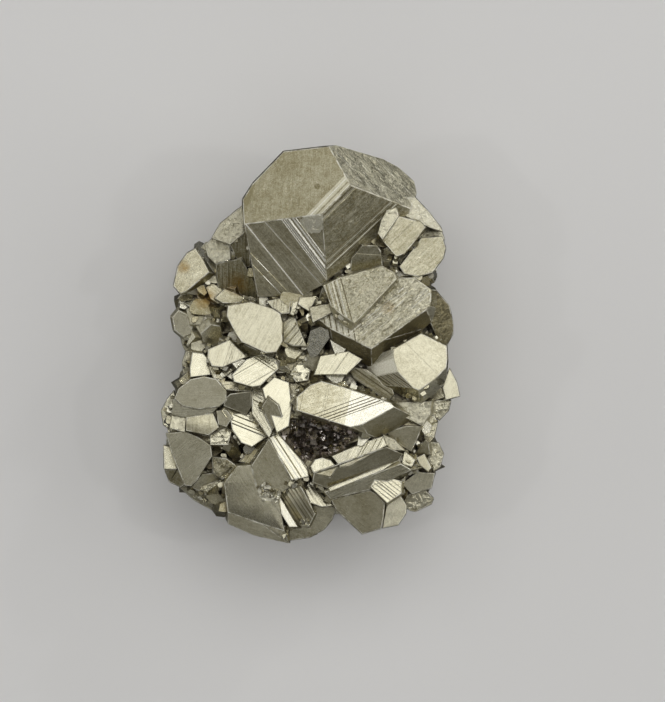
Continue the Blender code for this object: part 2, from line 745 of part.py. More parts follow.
def without_pockets(mesh):
    """Fills any pocket sealed between the crystals: only the outer skin is kept."""
    bm = bmesh.new()
    bm.from_mesh(mesh)
    skins = []
    left = set(bm.faces)
    while left:
        skin = set()
        edge_of = [left.pop()]
        while edge_of:
            face = edge_of.pop()
            skin.add(face)
            beside = {near for edge in face.edges for near in edge.link_faces} & left
            left -= beside
            edge_of.extend(beside)
        skins.append(skin)
    outer = max(skins, key=len)
    bmesh.ops.delete(bm, geom=[face for face in bm.faces if face not in outer], context="FACES")
    bm.to_mesh(mesh)
    bm.free()


def centred(mesh):
    """Brings a millimetre mesh to metres, with its box centred on the origin in X and Y."""
    xs = [vert.co.x for vert in mesh.vertices]
    ys = [vert.co.y for vert in mesh.vertices]
    shift = Vector(((min(xs) + max(xs)) / -2, (min(ys) + max(ys)) / -2, 0))
    mesh.transform(Matrix.Scale(MM, 4) @ Matrix.Translation(shift))


def main():
    for item in list(bpy.data.objects):
        bpy.data.objects.remove(item)
    body = guide("massive_base", gathered(base()))
    add_boolean(body, "UNION", guide("crystals", gathered(crystals())))
    add_boolean(body, "DIFFERENCE", guide("below_the_cut", floor_block()))
    depsgraph = bpy.context.evaluated_depsgraph_get()
    mesh = bpy.data.meshes.new_from_object(body.evaluated_get(depsgraph))
    mesh.name = NAME
    without_pockets(mesh)
    centred(mesh)
    mesh.materials.clear()
    mesh.materials.append(pyrite())
    bpy.context.scene.collection.objects.link(bpy.data.objects.new(NAME, mesh))


main()
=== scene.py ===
# %% [markdown]
# # A cluster of pyrite crystals
# Pyrite is a brassy iron sulphide. Its crystals are cubes and twelve-faced "pyritohedra" with flat,
# mirror-like faces, fine growth lines and chipped edges, and in a cluster they grow through each other.
# The solid body of the cluster is already made and comes in as a fixed frame. This lesson turns that
# plain body into the real surface: steps and growth lines on its faces, tiny crystals in its hollows, and
# the metal itself.

import math
import random
from bisect import bisect_right

import bmesh
import bpy
import numpy as np
from mathutils import Matrix, Vector
from mathutils.bvhtree import BVHTree


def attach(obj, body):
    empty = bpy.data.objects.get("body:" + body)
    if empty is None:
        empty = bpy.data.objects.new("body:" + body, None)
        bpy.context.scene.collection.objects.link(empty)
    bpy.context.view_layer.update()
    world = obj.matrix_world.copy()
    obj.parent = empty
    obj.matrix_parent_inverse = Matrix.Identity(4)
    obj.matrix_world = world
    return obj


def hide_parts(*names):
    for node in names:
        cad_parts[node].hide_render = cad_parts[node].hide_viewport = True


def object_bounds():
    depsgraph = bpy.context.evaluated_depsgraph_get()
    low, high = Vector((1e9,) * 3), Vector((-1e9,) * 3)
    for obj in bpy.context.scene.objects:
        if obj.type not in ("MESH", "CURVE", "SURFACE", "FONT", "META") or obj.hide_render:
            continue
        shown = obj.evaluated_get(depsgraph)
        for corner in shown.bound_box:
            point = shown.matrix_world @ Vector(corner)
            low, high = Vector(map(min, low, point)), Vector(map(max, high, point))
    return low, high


MM = 0.001
NODE = "pyrite_cluster"

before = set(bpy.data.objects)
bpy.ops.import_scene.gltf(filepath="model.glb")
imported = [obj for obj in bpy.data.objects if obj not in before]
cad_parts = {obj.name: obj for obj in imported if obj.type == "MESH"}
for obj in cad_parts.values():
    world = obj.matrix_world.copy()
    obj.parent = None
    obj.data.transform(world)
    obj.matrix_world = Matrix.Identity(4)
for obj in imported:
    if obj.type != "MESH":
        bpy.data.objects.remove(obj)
cad_low, cad_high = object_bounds()
print("body from", [round(v / MM, 1) for v in cad_low], "to", [round(v / MM, 1) for v in cad_high], "mm")

# %% [markdown]
# ## From loose triangles to crystal faces
# The frame's mesh is a heap of separate triangles. A crystal face, though, is one flat polygon, and
# everything below works on whole faces. We could remodel the body, but a copy of it needs only two
# operators: one welds the corners that lie together, and the other dissolves each edge that has the same
# plane on both sides.

# %% Weld the triangles and dissolve the flat edges
WELD = 0.001 * MM
FLAT_ANGLE = math.radians(0.4)

body = bmesh.new()
body.from_mesh(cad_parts[NODE].data)
across_layer = body.faces.layers.float_vector.new("across")
finish_layer = body.faces.layers.float_color.new("finish")
rim_layer = body.faces.layers.int.new("rim")
dressed_layer = body.faces.layers.int.new("dressed")
# The next layer says how far a rim is painted white: partly wear, partly painted highlight.
wear_and_highlight_layer = body.faces.layers.float.new("wear_and_highlight")
bmesh.ops.remove_doubles(body, verts=body.verts, dist=WELD)
loose_triangles = len(body.faces)
bmesh.ops.dissolve_limit(body, angle_limit=FLAT_ANGLE, verts=body.verts, edges=body.edges)
body.normal_update()
print(loose_triangles, "triangles became", len(body.faces), "flat faces")

# %% [markdown]
# ## Picking a face
# To finish one face we must be able to point at it. Face numbers change with every edit, so we drop a
# plumb line on a named spot instead, and take the face that it meets first, with any neighbour in the
# same plane.

# %% A plumb line that picks a face
SAME_PLANE = math.cos(math.radians(0.6))
ABOVE = 0.2
DOWN = Vector((0, 0, -1))

body.faces.ensure_lookup_table()
first_faces = list(body.faces)
untouched = BVHTree.FromBMesh(body)


def flat_patch(seed):
    """All the faces that lie around seed in the same plane, with seed first."""
    patch, to_visit = {seed: True}, [seed]
    while to_visit:
        for edge in to_visit.pop().edges:
            for face in edge.link_faces:
                if face not in patch and not face[rim_layer] and face.normal.dot(seed.normal) > SAME_PLANE:
                    patch[face] = True
                    to_visit.append(face)
    return list(patch)


def crystal_face(x, y):
    """The flat patch, and the point in metres, that a plumb line at x, y in mm meets first."""
    point, _, index, _ = untouched.ray_cast(Vector((x * MM, y * MM, ABOVE)), DOWN)
    return flat_patch(first_faces[index]), point


largest_faces, spot = crystal_face(-8, 38)
print(f"the plumb line at -8, 38 meets the largest face {spot.z / MM:.1f} mm up")

# %% [markdown]
# ## What each face remembers
# Growth lines run one way on one face and another way on the next, and some faces are bright, some dull,
# some brown with tarnish. One material can serve them all if each face carries its own numbers, so we add
# two layers to the mesh: `across` points across the growth lines, and `finish` holds how dull, how
# tarnished, how grainy and how strongly lined the face is. First every face gets a seeded finish of its
# own.

# %% Set a face's numbers
def line_direction(normal, run):
    """The direction in a face of this normal that, seen from above, runs at run degrees from +X."""
    turn = math.radians(run)
    flat = Vector((math.cos(turn), math.sin(turn), 0))
    if abs(normal.z) < 0.05:
        return flat.cross(normal).normalized()
    flat.z = -(flat.x * normal.x + flat.y * normal.y) / normal.z
    return flat.normalized()


def set_finish(faces, across, dull, tarnish, grain, lines):
    for face in faces:
        face[across_layer] = across
        face[finish_layer] = (dull, tarnish, grain, lines)


print("lines at 45 degrees on a level face run along", line_direction(Vector((0, 0, 1)), 45))

# %% [markdown]
# ## A finish by chance
# Most of the faces are small, and nobody would tell one from another, so each draws its finish by chance.
# The seed comes from the face's own place, so a face keeps its finish however many others there are.

# %% Every face draws a finish
STEEP = 0.3  # walls have a normal lower than this


def chance_finish(faces):
    """A finish for one patch, drawn by chance from the place of its first face."""
    face = min(faces, key=lambda f: tuple(f.calc_center_median()))
    spot = face.calc_center_median() / MM
    dice = random.Random(f"{spot.x:.1f} {spot.y:.1f} {spot.z:.1f}")
    steep = face.normal.z < STEEP
    along = line_direction(face.normal, dice.uniform(0, 180))
    if steep:
        along = Vector((-face.normal.y, face.normal.x, 0)).normalized()
    set_finish(
        faces,
        face.normal.cross(along).normalized(),
        dull=dice.uniform(0.2, 0.4),
        tarnish=dice.uniform(0.2, 1.05) if steep else dice.uniform(0.0, 0.5),
        grain=dice.uniform(0.1, 0.8),
        lines=1.0 if steep else dice.uniform(0.2, 0.9),
    )


waiting = set(body.faces)
patches = []
for face in body.faces:
    if face in waiting:
        patches.append(flat_patch(face))
        waiting.difference_update(patches[-1])
        chance_finish(patches[-1])
print(len(patches), "crystal faces have a finish")

# %% [markdown]
# ## Worn edges with painted highlights
# Pyrite is brittle, and its sharp edges are the first to chip. They show as thin bright lines, because a
# chipped edge scatters light from all around. Bevelling thousands of crossing edges at once tends to fold
# the mesh over itself, so we go the other way round: each face is inset by about a tenth of a millimetre
# and raised a hair, and the narrow rim that this leaves is the worn edge, with a rough finish. The material
# paints spots of the rim near white, partly as wear and partly as a painted highlight.

# %% A rim on every face that is wide enough
RIM = 0.19 * MM
RIM_RISE = 0.05 * MM
LEAST_WIDTH = 0.9 * MM
EDGE_DULL = 0.2  # how much duller a worn edge is than its face
# How far rims are painted white, on plain and on dressed faces: partly wear, partly painted highlight.
SLIGHT_WEAR_AND_HIGHLIGHT = 0.4
FULL_WEAR_AND_HIGHLIGHT = 1.0


def width_of(patch):
    """A rough width: four areas over the length of the outline."""
    outline = [e for f in patch for e in f.edges if sum(g in patch for g in e.link_faces) == 1]
    return 4 * sum(f.calc_area() for f in patch) / sum(e.calc_length() for e in outline)


def finish_rim(rim, face, wear_and_highlight):
    """Gives a rim its face's finish, but duller, and how far the material whitens it, as chips and as a
    painted highlight.
    """
    dull, tarnish, grain, lines = face[finish_layer]
    for edge_face in rim:
        edge_face[finish_layer] = (dull + EDGE_DULL, tarnish, grain, lines)
        edge_face[wear_and_highlight_layer] = wear_and_highlight


rims = 0
for patch in patches:
    if width_of(patch) > LEAST_WIDTH:
        made = bmesh.ops.inset_region(
            body, faces=patch, thickness=RIM, depth=RIM_RISE, use_boundary=True, use_even_offset=False
        )
        rim = made["faces"]
        for face in rim:
            face[rim_layer] = 1
        finish_rim(rim, patch[0], wear_and_highlight=SLIGHT_WEAR_AND_HIGHLIGHT)
        rims += 1
print(rims, "faces have a worn rim")

# %% [markdown]
# ## Growth steps
# A pyrite face is rarely one plane. It grew in thin layers that stop at straight lines, so narrow risers
# cross it in bundles, and each riser catches another part of the light. A bump map could fake them, but
# the coarse ones are real steps a tenth of a millimetre high. The rim keeps its place while we score the
# face inside it with `bisect_plane` and lift the points between the scores along the face's normal. Cross
# scores break the risers up.

# %% A band of growth steps
LEAST_CLIMB = 0.4  # the lowest riser, in parts of the highest
MOST_CLIMB = 1.5  # how far risers may add up, in parts of the highest
GAP_SPREAD = (0.4, 1.6)
RISER_SPREAD = (0.6, 1.4)
KEPT_SHARE = 0.6  # the share of broken risers that stand
BRIGHT_SHARE = 0.4  # the share of their stretches that have an edge finish


class Steps:
    """A band of growth steps through the point (x, y) mm, running at run degrees, width mm wide.
    gap is the mean distance between risers, riser their width and rise their height, in mm. The
    faces of the band get their own tarnish if one is given. Risers break off every few mm along the
    band if broken gives that length. They climb (side=1) or fall (side=-1) across the band, or do
    either by chance (side=0); the faces between them slope back to keep the band level. The risers
    take the tarnish values in edges one after another, or just some of their stretches do if they
    are broken. A band without x, y and run takes those of its face."""

    def __init__(
        self, x=None, y=None, run=None, width=4, gap=0.7, riser=0.25, rise=0.12, tarnish=None, broken=0,
        side=0, edges=(),
    ):
        self.x, self.y, self.run, self.width = x, y, run, width
        self.gap, self.riser, self.rise = gap, riser, rise
        self.tarnish, self.broken, self.side, self.edges = tarnish, broken, side, edges

    def settle(self, x, y, run):
        """Takes the place and the run of the face where the band has none of its own."""
        if self.x is None:
            self.x, self.y, self.run = x, y, run

    def places(self, dice):
        """Where the risers begin and end, in mm across the band, and how far each one climbs."""
        places, climbs = [-self.width / 2], [0.0]
        height = 0.0
        while places[-1] + self.gap + self.riser < self.width / 2:
            climb = self.rise * dice.uniform(LEAST_CLIMB, 1.0) * (self.side or dice.choice((-1, 1)))
            if not self.side and abs(height + climb) > MOST_CLIMB * self.rise:
                climb = -climb
            height += climb
            places.append(places[-1] + self.gap * dice.uniform(*GAP_SPREAD))
            places.append(places[-1] + self.riser * dice.uniform(*RISER_SPREAD))
            climbs += [0.0, climb]
        return [*places, max(places[-1], self.width / 2)], [*climbs, 0.0]

    def breaks(self, dice, low, high):
        """Where the risers may start or stop, in mm along the band."""
        breaks = [low]
        while self.broken and breaks[-1] + self.broken < high:
            breaks.append(breaks[-1] + self.broken * dice.uniform(*GAP_SPREAD))
        return [*breaks, max(breaks[-1], high) + 1]

    def heights(self, dice, places, climbs, breaks):
        """One row of heights for each break, in mm."""
        rows = []
        for _ in breaks:
            kept = [climb * (dice.random() < KEPT_SHARE if self.broken else 1) for climb in climbs]
            trend = -sum(kept) / (places[-1] - places[0])
            rows.append([sum(kept[: i + 1]) + trend * (p - places[0]) for i, p in enumerate(places)])
        return rows

    def edge_tarnish(self, step, stretch):
        """The tarnish of one stretch of a riser, or None where it is like the face's own."""
        if self.broken and random.Random(f"{self.x} {step} {stretch}").random() > BRIGHT_SHARE:
            return None
        return self.edges[(step + stretch) % len(self.edges)]


sample = Steps(0, 0, run=0, width=4).places(random.Random(1))[0]
print("a band 4 mm wide has about", len(sample) // 2 - 1, "risers")

# %% [markdown]
# ## Scoring a face
# `bisect_plane` cuts whatever crosses a plane and gives back both halves. We keep the faces from its
# answer, because the next cut must cross them all. The height of the face's plane tells where to start.

# %% Score a face
SCORE_DIST = 0.002 * MM


def score(faces, point, normal):
    """Cuts the faces along the plane through point, and gives them back with the new ones."""
    edges = {edge for face in faces for edge in face.edges}
    verts = {vert for face in faces for vert in face.verts}
    cut = bmesh.ops.bisect_plane(
        body, geom=[*verts, *edges, *faces], dist=SCORE_DIST, plane_co=point, plane_no=normal
    )
    return [g for g in cut["geom"] if isinstance(g, bmesh.types.BMFace)]


def plane_height(faces, normal, point):
    """How high the faces' plane lies at point."""
    start = faces[0].verts[0].co
    return start.z - ((point - start).xy.dot(normal.xy)) / normal.z


below_origin = plane_height(largest_faces, largest_faces[0].normal, Vector((0, 0, 0)))
print(f"the largest face's plane passes {below_origin / MM:.1f} mm above the origin")

# %% [markdown]
# ## Lifting between the scores
# Now each point between the scores is lifted along the face's normal. The heights are known at the
# scores, and `np.interp` fills in between them. The risers can also take a finish of their own, which
# paints some of them white and some dark: painted highlights and painted shade along the steps.

# %% Lift what lies between the scores
def retouch(face, tarnish, duller=0.0):
    """Gives one face another tarnish and keeps the rest of its finish."""
    dull, _, grain, lines = face[finish_layer]
    face[finish_layer] = (dull + duller, tarnish, grain, lines)


def finish_band(faces, band, point, across, along, places, climbs, breaks):
    """Gives a band, and then its risers, the tarnish they ask for."""
    for face in faces:
        middle = face.calc_center_median() - point
        if band.tarnish is not None and abs(middle.dot(across)) < band.width / 2 * MM:
            retouch(face, band.tarnish)
        place = bisect_right(places, middle.dot(across) / MM)
        if band.edges and 0 < place < len(places) and climbs[place]:
            own = band.edge_tarnish(place // 2, bisect_right(breaks, middle.dot(along) / MM))
            if own is not None:
                retouch(face, own, duller=EDGE_DULL)


def cut_steps(faces, normal, bands):
    """Makes the bands of growth steps in the faces."""
    relief = []
    for band in bands:
        dice = random.Random(f"{band.x} {band.y} {band.run}")
        point = Vector((band.x * MM, band.y * MM, 0))
        point.z = plane_height(faces, normal, point)
        along = line_direction(normal, band.run)
        across = normal.cross(along).normalized()
        reach = [(vert.co - point).dot(along) / MM for face in faces for vert in face.verts]
        places, climbs = band.places(dice)
        breaks = band.breaks(dice, min(reach), max(reach))
        for place in places:
            faces = score(faces, point + across * place * MM, across)
        for place in breaks[1:-1]:
            faces = score(faces, point + along * place * MM, along)
        finish_band(faces, band, point, across, along, places, climbs, breaks)
        relief.append((point, across, along, places, breaks, band.heights(dice, places, climbs, breaks)))
    for vert in {vert for face in faces for vert in face.verts}:
        lift = 0.0
        for point, across, along, places, breaks, rows in relief:
            s, t = (vert.co - point).dot(across) / MM, (vert.co - point).dot(along) / MM
            lift += np.interp(t, breaks, [np.interp(s, places, row) for row in rows])
        vert.co += normal * lift * MM
    return faces


print("halfway up a riser of 0.4 mm a point is lifted by", np.interp(0.5, [0, 1], [0, 0.4]), "mm")

# %% [markdown]
# ## Broken, glittery faces
# Other faces never grew smooth: they are a mosaic of tiny flakes, each tipped a little. The same two
# moves make them. Scores in three directions cut the face into cells, and each corner is lifted by a
# small seeded amount.

# %% Crackle a face
CRACK_TURNS = (0, 55, 118)  # degrees
CELL_SPREAD = (0.6, 1.5)


class Crackle:
    """A mosaic of flakes about cell mm across, tipped by up to depth mm, all over or within reach mm
    of (x, y). The flakes get their own tarnish if one is given."""

    def __init__(self, cell, depth, x=0, y=0, reach=1000, run=0, tarnish=None):
        self.cell, self.depth, self.run, self.tarnish = cell, depth, run, tarnish
        self.x, self.y, self.reach = x, y, reach


def crackle_face(faces, normal, mosaic, seed):
    dice = random.Random(seed)
    centre = Vector((mosaic.x * MM, mosaic.y * MM, 0))
    centre.z = plane_height(faces, normal, centre)
    for turn in CRACK_TURNS:
        across = normal.cross(line_direction(normal, mosaic.run + turn)).normalized()
        spread = [(vert.co - centre).dot(across) / MM for face in faces for vert in face.verts]
        low, high = max(min(spread), -mosaic.reach), min(max(spread), mosaic.reach)
        places = [low, high]
        place = low + mosaic.cell * dice.uniform(0.3, 0.7)
        while place < high:
            places.append(place)
            place += mosaic.cell * dice.uniform(*CELL_SPREAD)
        for place in places:
            faces = score(faces, centre + across * place * MM, across)
    lifted = []
    for vert in sorted({v for f in faces for v in f.verts}, key=lambda v: tuple(v.co)):
        if (vert.co - centre).length < 0.95 * mosaic.reach * MM:
            lifted.append((vert, dice.uniform(-1, 1) * mosaic.depth * MM))
    for vert, lift in lifted:
        vert.co += normal * lift
    rough = [face for face in faces if len(face.verts) > 3]
    flakes = {*faces, *bmesh.ops.triangulate(body, faces=rough)["faces"]}
    for face in flakes:
        near = all((vert.co - centre).length < 1.2 * mosaic.reach * MM for vert in face.verts)
        if mosaic.tarnish is not None and near:
            retouch(face, mosaic.tarnish, duller=EDGE_DULL)


print("a mosaic is scored in", len(CRACK_TURNS), "directions")

# %% [markdown]
# ## Dressing one face
# One call per face keeps the work readable: where the face is, which way its growth lines run, its
# finish, and its bands of steps or its mosaic.

# %% The call that dresses a face
def dress(x, y, run, dull=0.3, tarnish=0.1, grain=0.2, lines=0.3, steps=(), crackle=None):
    """Finishes the face under x, y mm, whose growth lines run at run degrees."""
    faces, point = crystal_face(x, y)
    normal = faces[0].normal.copy()
    across = normal.cross(line_direction(normal, run)).normalized()
    set_finish(faces, across, dull, tarnish, grain, lines)
    rim = {edge_face for face in faces for edge in face.edges for edge_face in edge.link_faces
           if edge_face[rim_layer]}
    finish_rim(rim, faces[0], wear_and_highlight=FULL_WEAR_AND_HIGHLIGHT)
    for edge_face in rim:
        edge_face[dressed_layer] = 1
    for face in faces:
        face[dressed_layer] = 1
    area = sum(face.calc_area() for face in faces) / MM**2
    for band in steps:
        band.settle(x, y, run)
    if steps:
        faces = cut_steps(faces, normal, steps)
    if crackle:
        crackle_face(faces, normal, crackle, f"{x} {y}")
    tilt = math.degrees(math.acos(normal.z))
    facing = math.degrees(math.atan2(normal.y, normal.x))
    print(f"face at {x}, {y}: {area:.0f} mm2, z {point.z / MM:.1f}, tilt {tilt:.0f} facing {facing:.0f}")


# %% [markdown]
# ## The largest crystal
# Four faces of a crystal as wide as a plum. The upper left one is almost a mirror with a brownish film
# and a small pit, the lower left one is crossed by sharp steps, the lower right one is grainy and olive,
# and the upper right one is rough and scratched. Each needs its own bands, so each gets one call. Steps
# that should flash are as steep as a roof, because a lower riser would mirror the same dark part of the
# room as its face.

# %% The largest crystal
dress(-8, 38, run=88, tarnish=0.72,
      steps=[Steps(6.2, 37.3, run=46, width=3.4, gap=0.45, rise=0.04, tarnish=0.1, edges=(-0.8, 0.7)),
             Steps(-17.5, 36, run=72, width=5, gap=0.9, riser=0.2, rise=0.03, tarnish=0.95)],
      crackle=Crackle(cell=0.35, depth=0.05, x=1.8, y=39.3, reach=0.7, tarnish=1.0))
dress(-7, 22, run=-50, dull=0.24, tarnish=0.6, grain=0.25, lines=0.5,
      steps=[Steps(-1.5, 26.5, run=-53, width=4.4, gap=0.3, riser=0.34, rise=0.4, tarnish=0.6, side=-1,
                   edges=(-1,)),
             Steps(-8.9, 21.3, run=-51, width=1.4, gap=0.4, riser=0.34, rise=0.4, side=-1, edges=(-1,)),
             Steps(-5.2, 23.5, run=-48, width=1.6, gap=0.6, riser=0.2, rise=0.2, side=-1,
                   edges=(-0.6, 0.8)),
             Steps(-12.5, 18, run=-46, width=5, gap=1.1, riser=0.2, rise=0.16, side=-1, broken=3,
                   edges=(-1,))],
      crackle=Crackle(cell=0.7, depth=0.1, x=0.8, y=30.4, reach=2.8, tarnish=-0.3))
dress(10, 29, run=43, dull=0.42, tarnish=0.62, grain=0.55, lines=1.0,
      steps=[Steps(6.6, 35.2, run=45, width=2.8, gap=0.3, riser=0.22, rise=0.2, edges=(-1, 1.4, 0.3)),
             Steps(15, 30, run=43, width=3.2, gap=0.4, riser=0.22, rise=0.1, edges=(1.3, -0.7))])
dress(18, 42, run=-45, dull=0.4, tarnish=0.12, grain=0.8, lines=0.5,
      steps=[Steps(width=24, gap=1.3, riser=0.14, rise=0.01, broken=1.8, edges=(-0.8,))])

# %% [markdown]
# ## Its right shoulder
# Plates of a second crystal lean on the largest one. They are pale, with fine growth lines across them,
# and the broken rock between them is best made as a mosaic of flakes.

# %% The crystals at the largest one's right shoulder
dress(23, 27.5, run=45, tarnish=0.4, grain=0.4, lines=0.7, steps=[Steps(width=16, gap=1.2, rise=0.07)])
dress(28.8, 21.9, run=45, tarnish=0.38, grain=0.5, lines=0.7,
      steps=[Steps(28, 22, run=45, width=12, gap=1.0, rise=0.07)])
dress(31, 28.4, run=30, dull=0.35, tarnish=0.15, grain=0.8, crackle=Crackle(cell=0.9, depth=0.09))
dress(28.3, 33, run=20, dull=0.35, tarnish=-0.1, grain=0.8, crackle=Crackle(cell=0.9, depth=0.07))
dress(19.2, 31.3, run=60, tarnish=0.05, grain=0.5, crackle=Crackle(cell=0.9, depth=0.07))
dress(14, 21.8, run=10, tarnish=0.5, grain=0.4, lines=0.2,
      steps=[Steps(15.5, 22.5, run=-3, width=2, gap=0.6, riser=0.3)])

# %% [markdown]
# ## Its left shoulder
# Rough pale tops and brown, ribbed columns. The ribs are wide steps that run down the columns, and a
# heavy tarnish makes them brown; a bump would lose the ribs at the columns' upper ends, where they show
# as a toothed outline.

# %% The left shoulder
dress(-19.8, 29.4, run=50, dull=0.38, tarnish=0.05, grain=0.8, crackle=Crackle(cell=0.9, depth=0.1))
dress(-23.1, 23.6, run=30, dull=0.35, tarnish=0.05, grain=0.8, crackle=Crackle(cell=1.0, depth=0.13))
dress(-17, 24, run=92, dull=0.4, tarnish=0.8, grain=0.5, lines=0.9,
      steps=[Steps(width=6, gap=0.9, riser=0.3, rise=0.15)])
dress(-18.8, 17.2, run=90, dull=0.4, tarnish=0.6, grain=0.5, lines=1.0,
      steps=[Steps(width=11, gap=0.8, riser=0.3, rise=0.15)])
dress(-30.2, 18.5, run=60, dull=0.25, tarnish=0.42, grain=0.25, lines=0.2)
dress(-26.6, 16, run=30, dull=0.25, tarnish=0.4, grain=0.3, lines=0.4)
dress(-21.1, 12.6, run=20, tarnish=0.5, grain=0.4, lines=0.4)
dress(-28.8, 10.6, run=20, dull=0.2, tarnish=0, grain=0.1, lines=0.2)

# %% [markdown]
# ## The left rim
# Little crystals at the edge of the cluster, with plain faces of different tarnish. No steps are needed
# here: a finish alone tells them apart.

# %% The left rim
dress(-28.5, 15.2, run=20, tarnish=0.9, grain=0.4, lines=0.6)
dress(-25.2, 20.5, run=70, tarnish=0.4, grain=0.3, lines=0.5)
dress(-32.3, 5.4, run=70, dull=0.25, tarnish=0.2)
dress(-24.8, 3.1, run=0, dull=0.25, tarnish=0.3)

# %% [markdown]
# ## The bright crystals at the left
# These faces are fresh metal with hardly any film. Their lines run in different directions, which is what
# tells the eye that they are different crystals, so the run of the lines matters more than their depth.

# %% The bright crystals at the left
dress(-13.3, 4.9, run=62, dull=0.32, tarnish=0.15, grain=0.25, lines=0.7,
      steps=[Steps(-15, 5, run=62, width=12, gap=1.4, riser=0.3, rise=0.04)])
dress(-21.4, -2.3, run=72, lines=0.8, steps=[Steps(-18.5, -2.3, run=72, width=6, gap=0.7, rise=0.08)])
dress(-28.1, -5.1, run=60, dull=0.22, tarnish=0, grain=0.1, lines=0.2)
dress(-13.7, -6.5, run=30, dull=0.25, tarnish=0, grain=0.1, lines=0.6,
      steps=[Steps(-12, -3.4, run=-33, width=3, gap=0.6),
             Steps(-15, -8, run=30, width=6, gap=1.6, rise=0.06)])
dress(-7.6, -14, run=65, dull=0.25, tarnish=0.05, grain=0.1,
      steps=[Steps(-5.5, -17, run=55, width=3, gap=0.8, rise=0.06)])
dress(-9.7, -16.5, run=-60, dull=0.25, tarnish=0.55, grain=0.1)
dress(-12.5, -16.5, run=-35, dull=0.25, tarnish=0, grain=0.1, lines=0.8,
      steps=[Steps(-12, -13, run=-28, width=5, gap=0.6, riser=0.3, rise=0.2),
             Steps(-13, -19, run=-60, width=4, gap=0.7)])
dress(-16, -0.6, run=-35, dull=0.25, tarnish=0.9, grain=0.3, lines=0.5)
dress(-19, -10.2, run=20, dull=0.25, tarnish=0.4, grain=0.3, lines=0.5,
      steps=[Steps(-19, -10.2, run=10, width=4, gap=0.9, rise=0.15)])
dress(-7.6, 10, run=80, tarnish=0.2, grain=0.6, lines=0.8,
      steps=[Steps(-7.6, 10, run=85, width=8, gap=0.6, rise=0.2)])

# %% [markdown]
# ## The lower left
# Smooth grey plates with small stepped ones between them. The plates stay quiet, with a little tarnish
# and faint lines, and the small ones get bold steps, so that the eye reads large and small.

# %% The lower left
dress(-29, -16.4, run=0, dull=0.28, tarnish=0.12, grain=0.3, lines=0.4)
dress(-27.3, -23.2, run=-30, dull=0.28, tarnish=0.9, grain=0.3, lines=0.6)
dress(-14.9, -26.8, run=-57, dull=0.25, tarnish=0.8, grain=0.3, lines=1.0,
      steps=[Steps(-14.9, -26.8, run=52, width=12, gap=0.9, riser=0.35, rise=0.35)])
dress(-22.3, -30.7, run=30, tarnish=0.6, grain=0.7, lines=0.4,
      steps=[Steps(-22.3, -30.7, run=40, width=8, gap=1.3, riser=0.3, rise=0.3, broken=2)])
dress(-27.1, -12.1, run=0, dull=0.25, tarnish=0.2, grain=0.1, lines=0.2)
dress(-17.7, -14.2, run=20, tarnish=0.5)
dress(-21.6, -18.2, run=-70, tarnish=0.35, lines=0.4)
dress(-33.3, -19.5, run=80, tarnish=0.15, grain=0.4, lines=0.4, crackle=Crackle(cell=1.1, depth=0.08))
dress(-27, -19.7, run=90, tarnish=0.45, lines=0.6, steps=[Steps(width=9, gap=1.3, riser=0.3, rise=0.08)])
dress(-15.8, -21, run=-20, dull=0.22, tarnish=0, grain=0.1, lines=0.6,
      steps=[Steps(-15.8, -19, run=-22, width=5, gap=0.7, riser=0.3, rise=0.22)])
dress(-22.3, -23, run=75, dull=0.25, tarnish=0, grain=0.3, lines=0.4,
      crackle=Crackle(cell=1.3, depth=0.15))
dress(-30.3, -27.7, run=40, dull=0.27, tarnish=0.2, grain=0.15, lines=0.2)
dress(-35.8, -28.7, run=90, dull=0.25)
dress(-34.3, -33.3, run=70, dull=0.35, tarnish=0.8, grain=0.5, lines=0.5)
dress(-26.2, -34.1, run=35, tarnish=0.4, grain=0.3, lines=0.5)

# %% [markdown]
# ## The bottom crystal
# A large smooth crystal with a long ribbed white strip down its right side, a crumbled spot where two of
# its faces meet, and dark and white columns below. The crumbled spot is a small mosaic inside a smooth
# face.

# %% The bottom crystal
dress(-10.1, -32.1, run=-57, dull=0.27, tarnish=0.48, grain=0.15, lines=0.25)
dress(-14.6, -38.1, run=-57, dull=0.27, tarnish=0.3, grain=0.15,
      steps=[Steps(-8, -41, run=-57, width=3, gap=0.8, riser=0.3, rise=0.1)],
      crackle=Crackle(cell=0.8, depth=0.3, x=-10.5, y=-36.6, reach=2.3, tarnish=-0.3))
dress(-4.5, -30.5, run=-57, dull=0.24, tarnish=-0.2, grain=0.1, lines=0.6,
      steps=[Steps(-5, -29, run=-57, width=5, gap=0.6, rise=0.08, edges=(0.9, -1))])
dress(-6.4, -41.3, run=-57, tarnish=-0.4, grain=0.1, lines=0.5)
dress(-13, -45.2, run=-20, tarnish=0.35, grain=0.3, lines=0.4)
dress(0, -46.5, run=-20, tarnish=0.4, grain=0.3, lines=0.4)
dress(-2.8, -40.2, run=-57, tarnish=0.35, grain=0.1, lines=1.0,
      steps=[Steps(width=9, gap=0.45, riser=0.2, rise=0.05, edges=(1.4, 0.9, -0.6))])
dress(1.7, -38.1, run=-57, dull=0.25, tarnish=0, grain=0.1, lines=0.7, steps=[Steps(width=6, gap=0.7)])

# %% [markdown]
# ## The long crystals
# Roof-shaped crystals that lie side by side. Their upper faces are white and ribbed and their lower faces
# dark and smooth, which shows the roof shape better than any outline.

